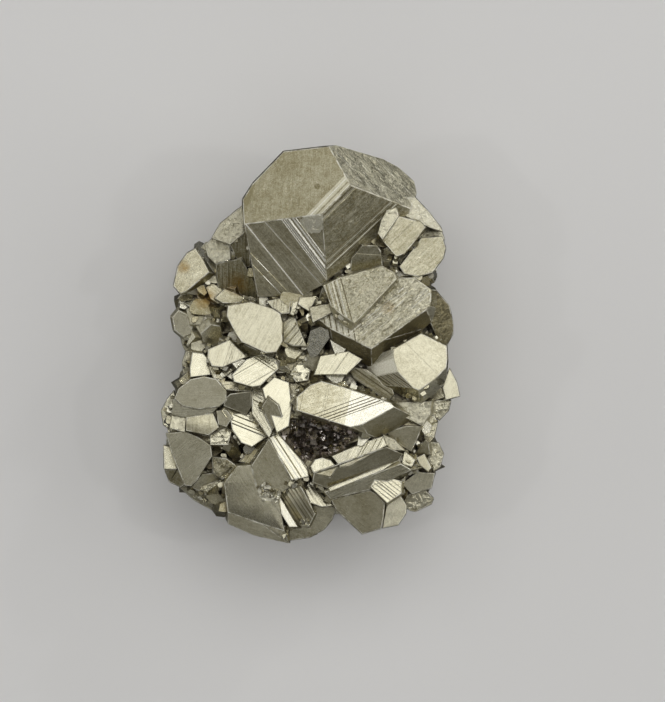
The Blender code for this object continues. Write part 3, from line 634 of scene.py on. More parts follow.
# %% The long crystals
dress(12.6, -26.2, run=62, dull=0.25, tarnish=0, lines=0.7,
      steps=[Steps(14.5, -25.5, run=62, width=7, gap=0.6)])
dress(12, -30.4, run=25, dull=0.22, tarnish=0.55, grain=0.1, lines=0.5)
dress(12.2, -33.1, run=25, dull=0.25, tarnish=0, grain=0.3, lines=0.4)
dress(2.7, -29.8, run=85, dull=0.22, tarnish=0, grain=0.1, lines=0.7,
      steps=[Steps(width=7, gap=0.8, rise=0.1)])
dress(14.6, -34.1, run=25, dull=0.25, tarnish=0.3, grain=0.15, lines=0.5)
dress(19.4, -35.9, run=15, dull=0.25, lines=0.5,
      steps=[Steps(18, -34, run=-38, width=6, gap=0.7, rise=0.15),
             Steps(16.5, -35.2, run=22, width=1.5, gap=0.5, riser=0.2, rise=0.05)])
dress(12.9, -41.3, run=-40, dull=0.25, tarnish=0.65, grain=0.1)
dress(21.3, -42, run=60, dull=0.35, grain=0.4)

# %% [markdown]
# ## The right rim
# The edge of the cluster is broken rock: small faces, most of them a mosaic of glittering flakes.

# %% The right rim
dress(24, -22.7, run=0, tarnish=0.4)
dress(27.1, -16.5, run=0, dull=0.4, tarnish=0.05, grain=0.8, lines=0.2,
      crackle=Crackle(cell=1.0, depth=0.1))
dress(32.8, -15.8, run=0, dull=0.4, grain=0.8, lines=0.2, crackle=Crackle(cell=0.9, depth=0.15))
dress(28.6, -29.4, run=60, tarnish=0.3, lines=0.4)
dress(31.5, -27.8, run=0, dull=0.35, grain=0.8, lines=0.2, crackle=Crackle(cell=0.8, depth=0.2))
dress(27.5, -34.4, run=60, tarnish=0.2, grain=0.3, lines=0.4)
dress(27.2, -39.2, run=0, dull=0.35, grain=0.8, lines=0.2, crackle=Crackle(cell=0.9, depth=0.2))
dress(28.4, -26, run=40, tarnish=0.5)
dress(20.5, -24.6, run=60, dull=0.38, grain=0.8, lines=0.4, crackle=Crackle(cell=0.7, depth=0.08))

# %% [markdown]
# ## The white crystal
# The brightest face leans towards the light, and a negative tarnish also paints it near white, a painted
# highlight. Fine dark ribs cross its right half, and it turns greyer to the left. A face has one tarnish,
# so that change is made with four bands across it, each a little cleaner.

# %% The white crystal
dress(7.5, -14.8, run=20, dull=0.24, tarnish=-0.55, grain=0.3, lines=0.7,
      steps=[Steps(-0.4, -13, run=78, width=5.6, gap=0.9, riser=0.2, rise=0.04, tarnish=0.45),
             Steps(4.2, -13, run=78, width=3.6, gap=0.9, riser=0.2, rise=0.04, tarnish=0.35),
             Steps(7.2, -13, run=78, width=2.4, gap=0.9, riser=0.2, rise=0.03, tarnish=0.2),
             Steps(9.2, -13, run=78, width=1.6, gap=0.9, riser=0.2, rise=0.03, tarnish=0.0),
             Steps(13.5, -14.4, run=20, width=4.4, gap=0.6, riser=0.2, rise=0.06, edges=(1.5,))])
dress(19, -19.3, run=15, tarnish=0.55, grain=0.1)

# %% [markdown]
# ## The middle right
# A pale six-sided face with ribbed flanks. The flanks look away from the light, yet they are painted pale
# with a negative tarnish, which whitens them: partly wear, partly painted light.

# %% The middle right
dress(27.6, -3.8, run=-45, tarnish=0.22, grain=0.3, lines=0.15,
      steps=[Steps(31, -6, run=-45, width=3, gap=1.2, riser=0.2, rise=0.04)])
dress(18.8, -2.8, run=35, dull=0.5, tarnish=-0.4, grain=0.3, lines=0.8,
      steps=[Steps(width=6, gap=0.9, riser=0.2, rise=0.06, edges=(0.3, -1))])
dress(18.3, -5.7, run=10, dull=0.5, tarnish=-0.5, lines=0.8)
dress(20.9, -8.7, run=-35, dull=0.45, tarnish=-0.3, lines=0.9,
      steps=[Steps(width=6, gap=0.6, rise=0.1, edges=(1.2,))])
dress(14.9, -8.5, run=-35, dull=0.4, tarnish=0.5, grain=0.3, lines=1.0,
      steps=[Steps(width=8, gap=0.5, riser=0.3, rise=0.06, edges=(1.3, -0.4, 0.9))])
dress(35.2, -10.5, run=60, grain=0.3)
dress(6.7, -4.6, run=55, dull=0.28, lines=0.6,
      steps=[Steps(6, -4.6, run=55, width=12, gap=1.8, riser=0.3, rise=0.1)])

# %% [markdown]
# ## The upper right
# Two stepped crystals, one on the other. Their faces are rough all over, from a strong grain and a fine
# mosaic, and their left ends are ribbed with white and dark lines. The flanks below them are dark.

# %% The upper right
dress(12.1, 13.4, run=55, dull=0.36, tarnish=0.28, grain=0.95, lines=0.9,
      steps=[Steps(7, 11, run=105, width=5, gap=0.5, rise=0.08, edges=(1.2, -0.8))],
      crackle=Crackle(cell=1.3, depth=0.06, x=13, y=14, reach=7, run=40))
dress(19.7, 7.6, run=40, dull=0.36, tarnish=0.12, grain=0.95, lines=1.0,
      steps=[Steps(7, 5, run=100, width=8, gap=0.5, rise=0.08, tarnish=-0.2, edges=(1.2, -0.8)),
             Steps(24, 9, run=40, width=10, gap=0.8, riser=0.2, broken=3, edges=(-1,))])
dress(9.6, 0.6, run=-26, dull=0.4, tarnish=1.2, grain=1.0, lines=0.2)
dress(2.9, 4.7, run=-40, dull=0.4, tarnish=1.2, grain=1.0, lines=0.2)
dress(24, 3.7, run=33, dull=0.35, tarnish=1.15, grain=0.5, lines=1.0)
dress(17.5, -0.4, run=33, dull=0.35, tarnish=1.15, grain=0.5, lines=0.6)
dress(33.2, 6.2, run=40, dull=0.42, tarnish=1.15, grain=0.9, lines=0.4)
dress(31, 11.5, run=20, dull=0.38, tarnish=0.95, grain=0.7, lines=0.6)
dress(2.3, 8.3, run=20, dull=0.35, tarnish=0.2, grain=0.6)

# %% [markdown]
# ## The chips in the middle
# The last few faces that are large enough to be dressed one by one. Everything smaller is made by chance
# below.

# %% The chips in the middle
dress(-4.2, 3, run=50, dull=0.28, lines=0.9, steps=[Steps(width=8, gap=0.7, riser=0.3, rise=0.2)])
dress(-0.7, 10.8, run=30, tarnish=0.2, grain=0.3)
dress(-2.5, -6.9, run=20, dull=0.22, tarnish=0, crackle=Crackle(cell=1.4, depth=0.15))

# %% [markdown]
# ## Where the hollows are
# The gaps between large crystals are lined with a crust of tiny ones. To find the gaps we scatter seeded
# points over the whole surface and send a few short rays out from each. Where most rays hit the cluster
# again, the point lies in a hollow, and how far the rays get says how much room a small crystal has
# there.

# %% Points and probing rays
PROBE_REACH = 7 * MM
PROBE_RAYS = 14
PROBE_LIFT = 0.4 * MM
PROBE_HEIGHTS = (0.25, 0.95)  # of the lowest and the highest ray, on a ball of radius 1
SURFACE_POINTS = 26000
BLOCKED_SHARE = 0.35  # more blocked rays than this make a hollow
LOWEST = 1.5 * MM
LEAST_UP = -0.5  # faces that look further down than this stay bare


def probe_directions():
    """Directions spread evenly over a half ball around +Z."""
    golden = math.pi * (3 - math.sqrt(5))
    low, high = PROBE_HEIGHTS
    for step in range(PROBE_RAYS):
        height = low + (high - low) * step / (PROBE_RAYS - 1)
        flat = math.sqrt(1 - height**2)
        yield Vector((flat * math.cos(golden * step), flat * math.sin(golden * step), height))


def surface_points(count, seed):
    """Seeded points, spread by area over the body, each with the normal there."""
    dice = random.Random(seed)
    triangles = [(t[0].vert.co.copy(), t[1].vert.co.copy(), t[2].vert.co.copy(), t[0].face.normal.copy())
                 for t in body.calc_loop_triangles()]
    areas = [(b - a).cross(c - a).length for a, b, c, _ in triangles]
    for a, b, c, normal in dice.choices(triangles, weights=areas, k=count):
        u, v = dice.random(), dice.random()
        if u + v > 1:
            u, v = 1 - u, 1 - v
        yield a + (b - a) * u + (c - a) * v, normal


def room_around(point, normal):
    """The share of rays that hit the body again, and the mean distance they reach."""
    turn = normal.to_track_quat("Z", "Y")
    start = point + normal * PROBE_LIFT
    blocked, total = 0, 0.0
    for direction in DIRECTIONS:
        hit = finished.ray_cast(start, turn @ direction, PROBE_REACH)
        blocked += hit[0] is not None
        total += hit[3] if hit[0] is not None else PROBE_REACH
    return blocked / PROBE_RAYS, total / PROBE_RAYS


DIRECTIONS = list(probe_directions())
print(PROBE_RAYS, "rays go out from each of", SURFACE_POINTS, "points")

# %% [markdown]
# ## Probing the finished body
# The tree is built once more, because the body has its steps now. A point counts when it is not on the
# underside and enough of its rays are blocked.

# %% Find the hollows
finished = BVHTree.FromBMesh(body)
body.faces.ensure_lookup_table()
finished_faces = list(body.faces)
hollows = []
for point, normal in surface_points(SURFACE_POINTS, seed=5):
    if point.z > LOWEST and normal.z > LEAST_UP:
        blocked, room = room_around(point, normal)
        if blocked > BLOCKED_SHARE:
            hollows.append((point, normal, room))
print(len(hollows), "of", SURFACE_POINTS, "points lie in hollows")

# %% [markdown]
# ## Shapes for the small crystals
# The small crystals come in three shapes: pyritohedra, cubes, and flat-topped splinters of larger
# crystals. Each starts as a cube that sloping planes cut away. `bisect_plane` makes a cut and
# `holes_fill` closes it. A few dozen shapes are enough, because every copy is turned and stretched by
# seeded chance.

# %% Shapes cut from a cube
UP = Vector((0, 0, 1))
CUT_DIST = 1e-5
SAME_POINT = 1e-4
SAME_FACE = 0.02


def cut_off(shape, normal, distance):
    """Cuts away what lies beyond the plane at this distance from the middle."""
    normal = normal.normalized()
    everything = [*shape.verts, *shape.edges, *shape.faces]
    bmesh.ops.bisect_plane(
        shape, geom=everything, dist=CUT_DIST, plane_co=normal * distance, plane_no=normal,
        clear_outer=True,
    )
    bmesh.ops.holes_fill(shape, edges=shape.edges)


def cut_cube(name, cuts):
    """A cube of 2 units with each (normal, distance) cut off, as a mesh."""
    shape = bmesh.new()
    bmesh.ops.create_cube(shape, size=2)
    for normal, distance in cuts:
        cut_off(shape, normal, distance)
    bmesh.ops.remove_doubles(shape, verts=shape.verts, dist=SAME_POINT)
    bmesh.ops.dissolve_limit(shape, angle_limit=SAME_FACE, verts=shape.verts, edges=shape.edges)
    bmesh.ops.recalc_face_normals(shape, faces=shape.faces)
    mesh = bpy.data.meshes.new(name)
    shape.to_mesh(mesh)
    shape.free()
    return mesh


plain = cut_cube("plain", [])
print("an uncut shape has", len(plain.polygons), "faces")
bpy.data.meshes.remove(plain)

# %% [markdown]
# ## Three kinds of small crystals
# A pyritohedron has twelve faces, each of which leans over an edge of the cube. A splinter has a flat top
# at a fixed height and sides that lean by chance.

# %% Pyritohedra, cubes and splinters
PYRITOHEDRON_DEPTH = 0.8
TOP = 0.45  # the height of a splinter's flat top, when its cube is 2 wide
SIDES = 7
CORNER = 1.5
SPLINTER_KINDS = 24


def pyritohedron_cuts():
    """Twelve planes, each over one edge of the cube."""
    for axis in range(3):
        for first in (-1, 1):
            for second in (-1, 1):
                normal = Vector((0, 0, 0))
                normal[axis], normal[(axis + 1) % 3] = 2 * first, second
                yield normal, PYRITOHEDRON_DEPTH


def splinter_cuts(dice):
    """A flat top and sloping sides."""
    yield UP, TOP
    for step in range(SIDES):
        turn = math.tau * (step + dice.uniform(-0.35, 0.35)) / SIDES
        yield Vector((math.cos(turn), math.sin(turn), dice.uniform(-0.1, 0.5))), dice.uniform(0.55, 0.9)


SPLINTERS = [cut_cube("splinter", splinter_cuts(random.Random(seed))) for seed in range(SPLINTER_KINDS)]
SEEDLINGS = [
    cut_cube("pyritohedron", pyritohedron_cuts()),
    cut_cube("cube", [(Vector((1, 1, 1)), CORNER)]),
]
print("small crystals have", sorted({len(mesh.polygons) for mesh in SPLINTERS + SEEDLINGS}), "faces")

# %% [markdown]
# ## Setting one crystal
# A helper copies a shape into the growing crust, turns it, stretches it, and gives its faces their
# finish. Most splinters show a face that leans a little to the back, since that is where the light comes
# from.

# %% Set one crystal in the crust
# The white small crystals are partly wear and partly painted glints.
STAINED_SHARE = 0.65  # the share of small crystals with some tarnish; the others are worn white
WHITE = -0.3
CRUST_GRAIN = 0.3


class Crust:
    """A mesh that collects small crystals, with the ranges that their dull and tarnish are drawn from."""

    def __init__(self, dice, dull, tarnish):
        self.dice, self.dull, self.tarnish = dice, dull, tarnish
        self.mesh = bmesh.new()
        self.across = self.mesh.faces.layers.float_vector.new("across")
        self.finish = self.mesh.faces.layers.float_color.new("finish")

    def add(self, shape, place, turn, stretch):
        """Sets a copy of the shape, stretched along its own axes and then turned, at place."""
        known_verts, known_faces = len(self.mesh.verts), len(self.mesh.faces)
        self.mesh.from_mesh(shape)
        self.mesh.verts.ensure_lookup_table()
        self.mesh.faces.ensure_lookup_table()
        move = Matrix.Translation(place) @ turn @ Matrix.Diagonal((*stretch, 1))
        bmesh.ops.transform(self.mesh, verts=self.mesh.verts[known_verts:], matrix=move)
        tone = self.dice.uniform(*self.tarnish) if self.dice.random() < STAINED_SHARE else WHITE
        for face in self.mesh.faces[known_faces:]:
            face.normal_update()
            face[self.across] = face.normal.orthogonal().normalized()
            face[self.finish] = (self.dice.uniform(*self.dull), tone, CRUST_GRAIN, self.dice.uniform(0, 0.8))


print("a crust keeps", STAINED_SHARE, "of its crystals stained")

# %% [markdown]
# ## Turns by chance
# The smallest crystals are turned any way. A splinter is spun about its own axis and then leans by a few
# degrees, so that its flat top shows as a small bright or dark face.

# %% Turn and stretch a crystal
def random_stretch(dice, size, least, most):
    """Three sizes, one for each axis of a crystal."""
    return [size * dice.uniform(least, most) for _ in range(3)]


def random_turn(dice):
    """Any turn at all."""
    axis = Vector((dice.gauss(0, 1), dice.gauss(0, 1), dice.gauss(0, 1))).normalized()
    return Matrix.Rotation(dice.uniform(0, math.tau), 4, axis)


def leaning_turn(dice, tilts, facings):
    """Spins a crystal about its axis and then leans the axis, by angles in degrees drawn from the ranges."""
    tilt, facing = math.radians(dice.uniform(*tilts)), math.radians(dice.uniform(*facings))
    axis = Vector((-math.sin(facing), math.cos(facing), 0))
    return Matrix.Rotation(tilt, 4, axis) @ Matrix.Rotation(dice.uniform(0, math.tau), 4, UP)


lean = leaning_turn(random.Random(2), tilts=(8, 20), facings=(50, 120)) @ UP
print(f"a splinter that leans to the back looks {math.degrees(lean.angle(UP)):.0f} degrees off straight up")

# %% [markdown]
# ## Looking down
# New crystals must fit the finished body, so we ask it: a ray from above tells how high the body is at a
# spot, and a ring of such rays tells how high it is around that spot.

# %% Look down at the finished body
def look_down(x, y):
    """The height of the finished body at x, y in metres, and whether a dressed face lies there."""
    point, _, index, _ = finished.ray_cast(Vector((x, y, ABOVE)), DOWN)
    return (point.z, bool(finished_faces[index][dressed_layer])) if point else (0.0, False)


def ring(x, y, radius, count=8):
    """What a look down finds at count places around x, y."""
    turns = (math.tau * step / count for step in range(count))
    return [look_down(x + radius * math.cos(turn), y + radius * math.sin(turn)) for turn in turns]


print(f"the body is {look_down(0.0, 0.0)[0] / MM:.1f} mm high in the middle")

# %% [markdown]
# ## Splinters in the gaps
# The gaps between the large faces are packed with broken crystals a millimetre or three across. We try a
# seeded spot in each cell of a lattice. Where the spot lies on a dressed face, nothing is added.
# Elsewhere a splinter rises from the floor of the gap until it is just below the lowest face around it,
# so it hides no face.

# %% Rules for the splinters
SIZES = [(3.6, 4000), (2.6, 6000), (1.8, 9000), (1.2, 12000), (0.8, 12000)]  # largest in mm, tries
SPACING = 0.62  # the least distance, in parts of two sizes
GAP_FLOOR = 8 * MM
NEIGHBOURHOOD = 4.5 * MM
SHALLOW = 0.3 * MM  # a gap less deep than this gets small splinters only, and fewer
SMALL_SIZES = 1.2
SHALLOW_SKIPPED = 0.6
BELOW_WALLS = (0.1, 2.0)  # how far below the lowest face around, in mm
SHARED = 1.2  # a splinter is at least as deep as its gap, divided by this
ALONE = (0.4, 1.0)  # how far a splinter without walls rises, in parts of its size
LONG = 1.5  # a splinter this much deeper than wide leans little
MOST_LEAN, LONG_LEAN = 45, 15  # degrees
BRIGHT_SPLINTERS = 0.5  # the share that leans to the back
BRIGHT_LEAN = (8, 20)
LEAST_LEAN = 5
CAVITY = Vector((3.2 * MM, -23.2 * MM))
CAVITY_SIZE = Vector((10.2 * MM, 7.4 * MM))
CAVITY_ROOF = 33 * MM
TO_THE_BACK = (50, 120)  # facings in degrees
ANYWHERE = (0, 360)


def in_cavity(x, y):
    """Whether x, y in metres lies in the open cavity, an ellipse seen from above."""
    return ((x - CAVITY.x) / CAVITY_SIZE.x) ** 2 + ((y - CAVITY.y) / CAVITY_SIZE.y) ** 2 < 1


def overlaps(x, y, size, others):
    """Whether a splinter of this size would stand in one of the others."""
    return any((x - u) ** 2 + (y - v) ** 2 < (SPACING * (size + other)) ** 2 for u, v, other in others)


print("a splinter of 2 mm keeps", 2 * SPACING * 2, "mm from the next one's middle")

# %% [markdown]
# ## Packing them, the large ones first
# Large splinters go in first and small ones fill up what is left, as in a bag of gravel. A splinter
# between walls ends a little below the lowest one, and one that stands alone rises by about its own size.

# %% Pack the gaps with splinters
splinters = Crust(random.Random(17), dull=(0.14, 0.32), tarnish=(0.0, 1.05))
dice = splinters.dice
set_splinters = []
for largest, tries in SIZES:
    for _ in range(tries):
        x, y = dice.uniform(cad_low[0], cad_high[0]), dice.uniform(cad_low[1], cad_high[1])
        size = largest * dice.uniform(0.75, 1.0) * MM
        here, dressed = look_down(x, y)
        if dressed or here < GAP_FLOOR or in_cavity(x, y) or overlaps(x, y, size, set_splinters):
            continue
        around = ring(x, y, size)
        if not all(height for height, _ in around):
            continue
        walls = [height for height, is_dressed in around if is_dressed]
        envelope = sorted(height for height, _ in ring(x, y, NEIGHBOURHOOD, count=12))[6]
        if envelope < here + SHALLOW and (largest > SMALL_SIZES or dice.random() < SHALLOW_SKIPPED):
            continue
        if walls:
            top = min(walls) - dice.uniform(*BELOW_WALLS) * MM
        else:
            top = here + dice.uniform(*ALONE) * size
        top = min(top, max(envelope, here + 0.4 * MM))
        if top < here + 0.1 * MM:
            continue
        depth = max(size, (top - here) / SHARED)
        most = MOST_LEAN if depth < LONG * size else LONG_LEAN
        tilts, facings = (LEAST_LEAN, most), ANYWHERE
        if dice.random() < BRIGHT_SPLINTERS:
            tilts, facings = (BRIGHT_LEAN[0], min(most, BRIGHT_LEAN[1])), TO_THE_BACK
        wide = (size * dice.uniform(1.0, 1.5), size * dice.uniform(0.7, 1.1))
        place = Vector((x, y, top - TOP * depth))
        splinters.add(dice.choice(SPLINTERS), place, leaning_turn(dice, tilts, facings), (*wide, depth))
        set_splinters.append((x, y, size))
print(len(set_splinters), "splinters in the gaps")

# %% [markdown]
# ## Tiny crystals in the hollows
# Crystals under a millimetre grow in every corner. They start from the points found above, which also
# know how much room there is, and they stay off the dressed faces.

# %% Tiny crystals in the hollows
FILL = (0.06, 0.2)  # a crystal's size, in parts of the room there
SMALLEST_TINY, LARGEST_TINY = 0.25 * MM, 1.0 * MM
MOST_TINY = 1400
CLOSEST = 0.8  # the least distance, in parts of two sizes
LOOK_BACK = 400  # how many of the last crystals are asked
ROOTED = 0.15  # how deep a crystal sits in the wall, in parts of its size

taken = []
for point, normal, room in hollows:
    size = min(max(room * dice.uniform(*FILL), SMALLEST_TINY), LARGEST_TINY)
    near = any((point - other).length < CLOSEST * (size + reach) for other, reach in taken[-LOOK_BACK:])
    around = [look_down(point.x, point.y), *ring(point.x, point.y, size)]
    beside_edge = any(dressed and -size < height - point.z < size for height, dressed in around)
    if near or beside_edge or in_cavity(point.x, point.y) or not all(height for height, _ in around):
        continue
    if len(taken) > MOST_TINY:
        break
    taken.append((point, size))
    stretch = random_stretch(dice, size, 0.75, 1.25)
    splinters.add(dice.choice(SEEDLINGS), point - normal * size * ROOTED, random_turn(dice), stretch)
print(len(taken), "tiny crystals in the hollows")

# %% [markdown]
# ## Crumbs on broken spots
# Here and there a large face is broken, and white and black crumbs stick in the break. A bump would only
# smear the reflection, so the crumbs are the smallest crystals once more, scattered about a few named
# spots.

# %% Crumbs on broken spots
CRUMB_SIZES = (0.2, 0.65)
CRUMBLED = [  # x, y and reach in mm, and how many crumbs
    (-11.3, -35.9, 1.5, 34), (-8.7, -37.2, 1.2, 24), (-4.6, -34.7, 0.9, 8), (-1.2, -44.2, 1.0, 10),
]
splinters.tarnish = (-0.6, 1.6)  # white crumbs and dirty ones
for x, y, reach, count in CRUMBLED:
    for _ in range(count):
        spot = Vector((dice.gauss(x, reach / 2), dice.gauss(y, reach / 2), 0)) * MM
        size = dice.uniform(*CRUMB_SIZES) * MM
        spot.z = look_down(spot.x, spot.y)[0] - 0.2 * size
        stretch = random_stretch(dice, size, 0.6, 1.4)
        splinters.add(dice.choice(SEEDLINGS), spot, random_turn(dice), stretch)
print(sum(count for *_, count in CRUMBLED), "crumbs on", len(CRUMBLED), "broken spots")

# %% [markdown]
# ## The dark cavity
# One deep gap is open and lined with a dark crust. It could be left to shade, but its glitter comes from
# hundreds of tiny faces, so it gets crystals of its own, set on its floor and walls, in a darker metal.

# %% The dark cavity
CAVITY_POINTS = 90000
CAVITY_CRYSTALS = 1500
CAVITY_SIZES = (0.3, 0.75)  # mm
LEAST_LEVEL = -0.1  # overhanging walls stay bare

cavity = Crust(random.Random(23), dull=(0.12, 0.3), tarnish=(0.0, 1.0))
dice = cavity.dice
grown = 0
for point, normal in surface_points(CAVITY_POINTS, seed=9):
    if not in_cavity(point.x, point.y) or not GAP_FLOOR < point.z < CAVITY_ROOF or normal.z < LEAST_LEVEL:
        continue
    height, dressed = look_down(point.x, point.y)
    if (dressed and abs(height - point.z) < 0.5 * MM) or grown > CAVITY_CRYSTALS:
        continue
    size = dice.uniform(*CAVITY_SIZES) * MM
    stretch = random_stretch(dice, size, 0.8, 1.3)
    shape, place = dice.choice(SEEDLINGS), point + normal * size * dice.uniform(0, 0.6)
    cavity.add(shape, place, random_turn(dice), stretch)
    grown += 1
print(grown, "dark crystals in the cavity")


# %% [markdown]
# ## Handing the pieces over
# Until here everything is mesh data. Each heap becomes an object that rides on the body, at the origin
# and unturned, and the dressed copy takes the place of the plain body. No point may leave the plain
# body's box.

# %% Hand the pieces over
def hand_over(mesh_data, name):
    """Makes the bmesh an object that rides on the body, nowhere outside the solid's own box."""
    for vert in mesh_data.verts:
        vert.co = [min(max(value, low), high) for value, low, high in zip(vert.co, cad_low, cad_high)]
    mesh = bpy.data.meshes.new(name)
    mesh_data.normal_update()
    mesh_data.to_mesh(mesh)
    mesh_data.free()
    piece = bpy.data.objects.new(name, mesh)
    bpy.context.scene.collection.objects.link(piece)
    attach(piece, "root")
    print(name, "has", len(mesh.polygons), "faces")
    return piece


small_crystals = hand_over(splinters.mesh, "small_crystals")
cavity_crust = hand_over(cavity.mesh, "cavity_crust")
crystal_body = hand_over(body, "crystal_body")
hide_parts(NODE)


# %% [markdown]
# ## Sums of sockets
# A material is a tree of nodes, and a formula of twenty Math nodes is hard to read as a tree. A small
# class that wraps a socket lets us write the formula as Python, where each sign adds its Math node.

# %% Sums of sockets
class Value:
    """A number socket that takes part in sums: Value + 1, 2 * Value, 1 - Value."""

    def __init__(self, recipe, socket):
        self.recipe, self.socket = recipe, socket

    def _sum(self, operation, first, second):
        return self.recipe.node("ShaderNodeMath", {"operation": operation}, {0: first, 1: second})["Value"]

    def __add__(self, other):
        return self._sum("ADD", self, other)

    def __sub__(self, other):
        return self._sum("SUBTRACT", self, other)

    def __rsub__(self, other):
        return self._sum("SUBTRACT", other, self)

    def __mul__(self, other):
        return self._sum("MULTIPLY", self, other)

    def __pow__(self, other):
        return self._sum("POWER", self, other)

    __radd__ = __add__
    __rmul__ = __mul__


print("mask + 1, 1 - mask, 2 * mask and mask ** 2 each add one Math node")

# %% [markdown]
# ## One way to add any node
# All other nodes come from one method. It sets a node's settings first, because they can change which
# sockets the node has, and then gives each socket its value or its link.

# %% Recipes
class Outputs:
    """A node's outputs by name, as Values."""

    def __init__(self, recipe, node):
        self.recipe, self.node = recipe, node

    def __getitem__(self, name):
        return Value(self.recipe, self.node.outputs[name])


class Recipe:
    """The nodes of a material or world under construction."""

    def __init__(self, block):
        self.block = block
        block.use_nodes = True
        self.tree = block.node_tree
        self.tree.nodes.clear()

    def node(self, kind, settings=None, sockets=None):
        """Adds a node: its settings are set first, then its sockets get values or links."""
        made = self.tree.nodes.new(kind)
        for name, value in (settings or {}).items():
            setattr(made, name, value)
        for name, value in (sockets or {}).items():
            if isinstance(value, Value):
                self.tree.links.new(value.socket, made.inputs[name])
            else:
                made.inputs[name].default_value = value
        return Outputs(self, made)


print("a recipe fills a material or a world")

# %% [markdown]
# ## The metal
# Pyrite is a pale brassy metal. A thin film of tarnish turns it olive-brown, iron stains it rusty in places,
# and its hollows go near black, partly from dirt and partly as painted shade. Its chipped edges and pits
# are painted white, partly as wear and partly as painted highlights and glints. One recipe serves all faces,
# because each face brings its own numbers. Growth lines are noise that is drawn out along the face's own
# direction, and they move the film, the gloss and a fine bump together, since on the real metal they are
# one and the same scratch.

# %% Colours of the metal
FRESH = (0.68, 0.645, 0.48, 1)
DARK = (0.42, 0.36, 0.34, 1)
TARNISHED = (0.28, 0.245, 0.135, 1)
# The near black below darkens hollows and heavy tarnish: partly dirt, partly painted shade.
DIRT_AND_SHADE = (0.06, 0.045, 0.032, 1)
RUST = (0.3, 0.19, 0.05, 1)
# The near white below is partly wear and partly painted highlights and glints on edges, steps and pits.
WORN_AND_HIGHLIGHT = (0.96, 0.94, 0.83, 1)
STAINS = [  # x, y, z and radius in mm
    (-31.8, 19.5, 30, 2.2), (6, 20.5, 32, 4.5), (32, 11.5, 25, 4.0), (-18.5, 16, 28, 4.5),
    (13, 13, 38, 3.2), (19.5, 9, 36, 2.6), (-26.5, 12, 28, 3.5),
]
print("six colours and", len(STAINS), "brown stains")

# %% [markdown]
# ## Nodes with short names
# The recipe uses a few nodes again and again, so each gets a short function. The patterns are given in
# repeats per millimetre, since the crystals are small. A brown stain is a soft ball that colours what it
# meets.

# %% Noise, blends and stains
PER_MM = 1 / MM


def noise(recipe, place, scale, detail=4.0, roughness=0.6):
    """Smooth noise between 0 and 1, with scale repeats per metre."""
    sockets = {"Vector": place, "Scale": scale, "Detail": detail, "Roughness": roughness}
    return recipe.node("ShaderNodeTexNoise", {}, sockets)["Fac"]


def blend(recipe, factor, first, second):
    """A colour between the first and the second."""
    mix = recipe.node("ShaderNodeMix", {"data_type": "RGBA"}, {"Factor": factor, "A": first, "B": second})
    return Value(recipe, mix.node.outputs[2])


def clamped(recipe, value):
    """The value, kept between 0 and 1."""
    return recipe.node("ShaderNodeClamp", {}, {"Value": value, "Min": 0.0, "Max": 1.0})["Result"]


def vector(recipe, operation, first, second=None, scale=None):
    """A Vector Math node."""
    sockets = {0: first}
    if second is not None:
        sockets[1] = second
    if scale is not None:
        sockets["Scale"] = scale
    return recipe.node("ShaderNodeVectorMath", {"operation": operation}, sockets)


def stained(recipe, place, mottle):
    """How strong the brown stains are at place."""
    total = 0
    for x, y, z, radius in STAINS:
        middle = (x * MM, y * MM, z * MM)
        away = vector(recipe, "DISTANCE", place, middle)["Value"]
        total = clamped(recipe, (1 - away * (PER_MM / radius)) * 1.6) + total
    return clamped(recipe, total * (mottle * 2.6 - 0.5))


print("the smallest stain is", min(radius for *_, radius in STAINS), "mm in radius")

# %% [markdown]
# ## Patterns that follow the growth lines
# Each face has its own two directions, across its lines and along them. Noise that is squeezed across and
# drawn out along makes streaks. Cells that each lean their own way make flakes, and they tip the normal,
# so that a grainy face glitters.

# %% Streaks and flakes
FINE, WIDE = (4.5, 22), (1.1, 9)  # streaks per mm, and how drawn out they are
SMALL_FLAKES, LARGE_FLAKES = (3.2, 1.8), (1.0, 0.6)  # per mm across and along the lines
BETWEEN_LINES = 7  # sets apart the streaks of faces with other lines


class FacePlace:
    """Where a point lies on its face: s metres across the growth lines and t along them."""

    def __init__(self, recipe, place):
        across = recipe.node("ShaderNodeAttribute", {"attribute_name": "across"})["Vector"]
        normal = recipe.node("ShaderNodeNewGeometry")["True Normal"]
        along = vector(recipe, "CROSS_PRODUCT", normal, across)["Vector"]
        self.recipe = recipe
        self.s = vector(recipe, "DOT_PRODUCT", place, across)["Value"]
        self.t = vector(recipe, "DOT_PRODUCT", place, along)["Value"]

    def at(self, across_per_mm, along_per_mm, layer=0.0):
        """The place as a pattern with this many repeats per mm sees it."""
        sockets = {"X": self.s * (across_per_mm * PER_MM), "Y": self.t * (along_per_mm * PER_MM), "Z": layer}
        return self.recipe.node("ShaderNodeCombineXYZ", {}, sockets)["Vector"]

    def streaks(self, lines, per_mm, stretch):
        """Noise drawn out along the growth lines."""
        place = self.at(per_mm, per_mm / stretch, lines * BETWEEN_LINES)
        return noise(self.recipe, place, 1.0, detail=2.0)

    def tips(self, across_per_mm, along_per_mm, amount):
        """Small tips of the surface, one for each flake."""
        sockets = {"Vector": self.at(across_per_mm, along_per_mm), "Scale": 1.0}
        flakes = self.recipe.node("ShaderNodeTexVoronoi", {"voronoi_dimensions": "2D"}, sockets)["Color"]
        level = vector(self.recipe, "SUBTRACT", flakes, (0.5, 0.5, 0.5))["Vector"]
        return vector(self.recipe, "SCALE", level, scale=amount)["Vector"]


print(f"fine streaks are {1 / FINE[0]:.1f} mm wide and {FINE[1] / FINE[0]:.0f} mm long")

# %% [markdown]
# ## Fine relief
# What is finer than the steps is left to the normal. The Bevel node rounds the sharp edges for the
# reflections alone, by about a tenth of a millimetre, the flakes tip what it gives, and a bump adds the
# finest lines and pits.

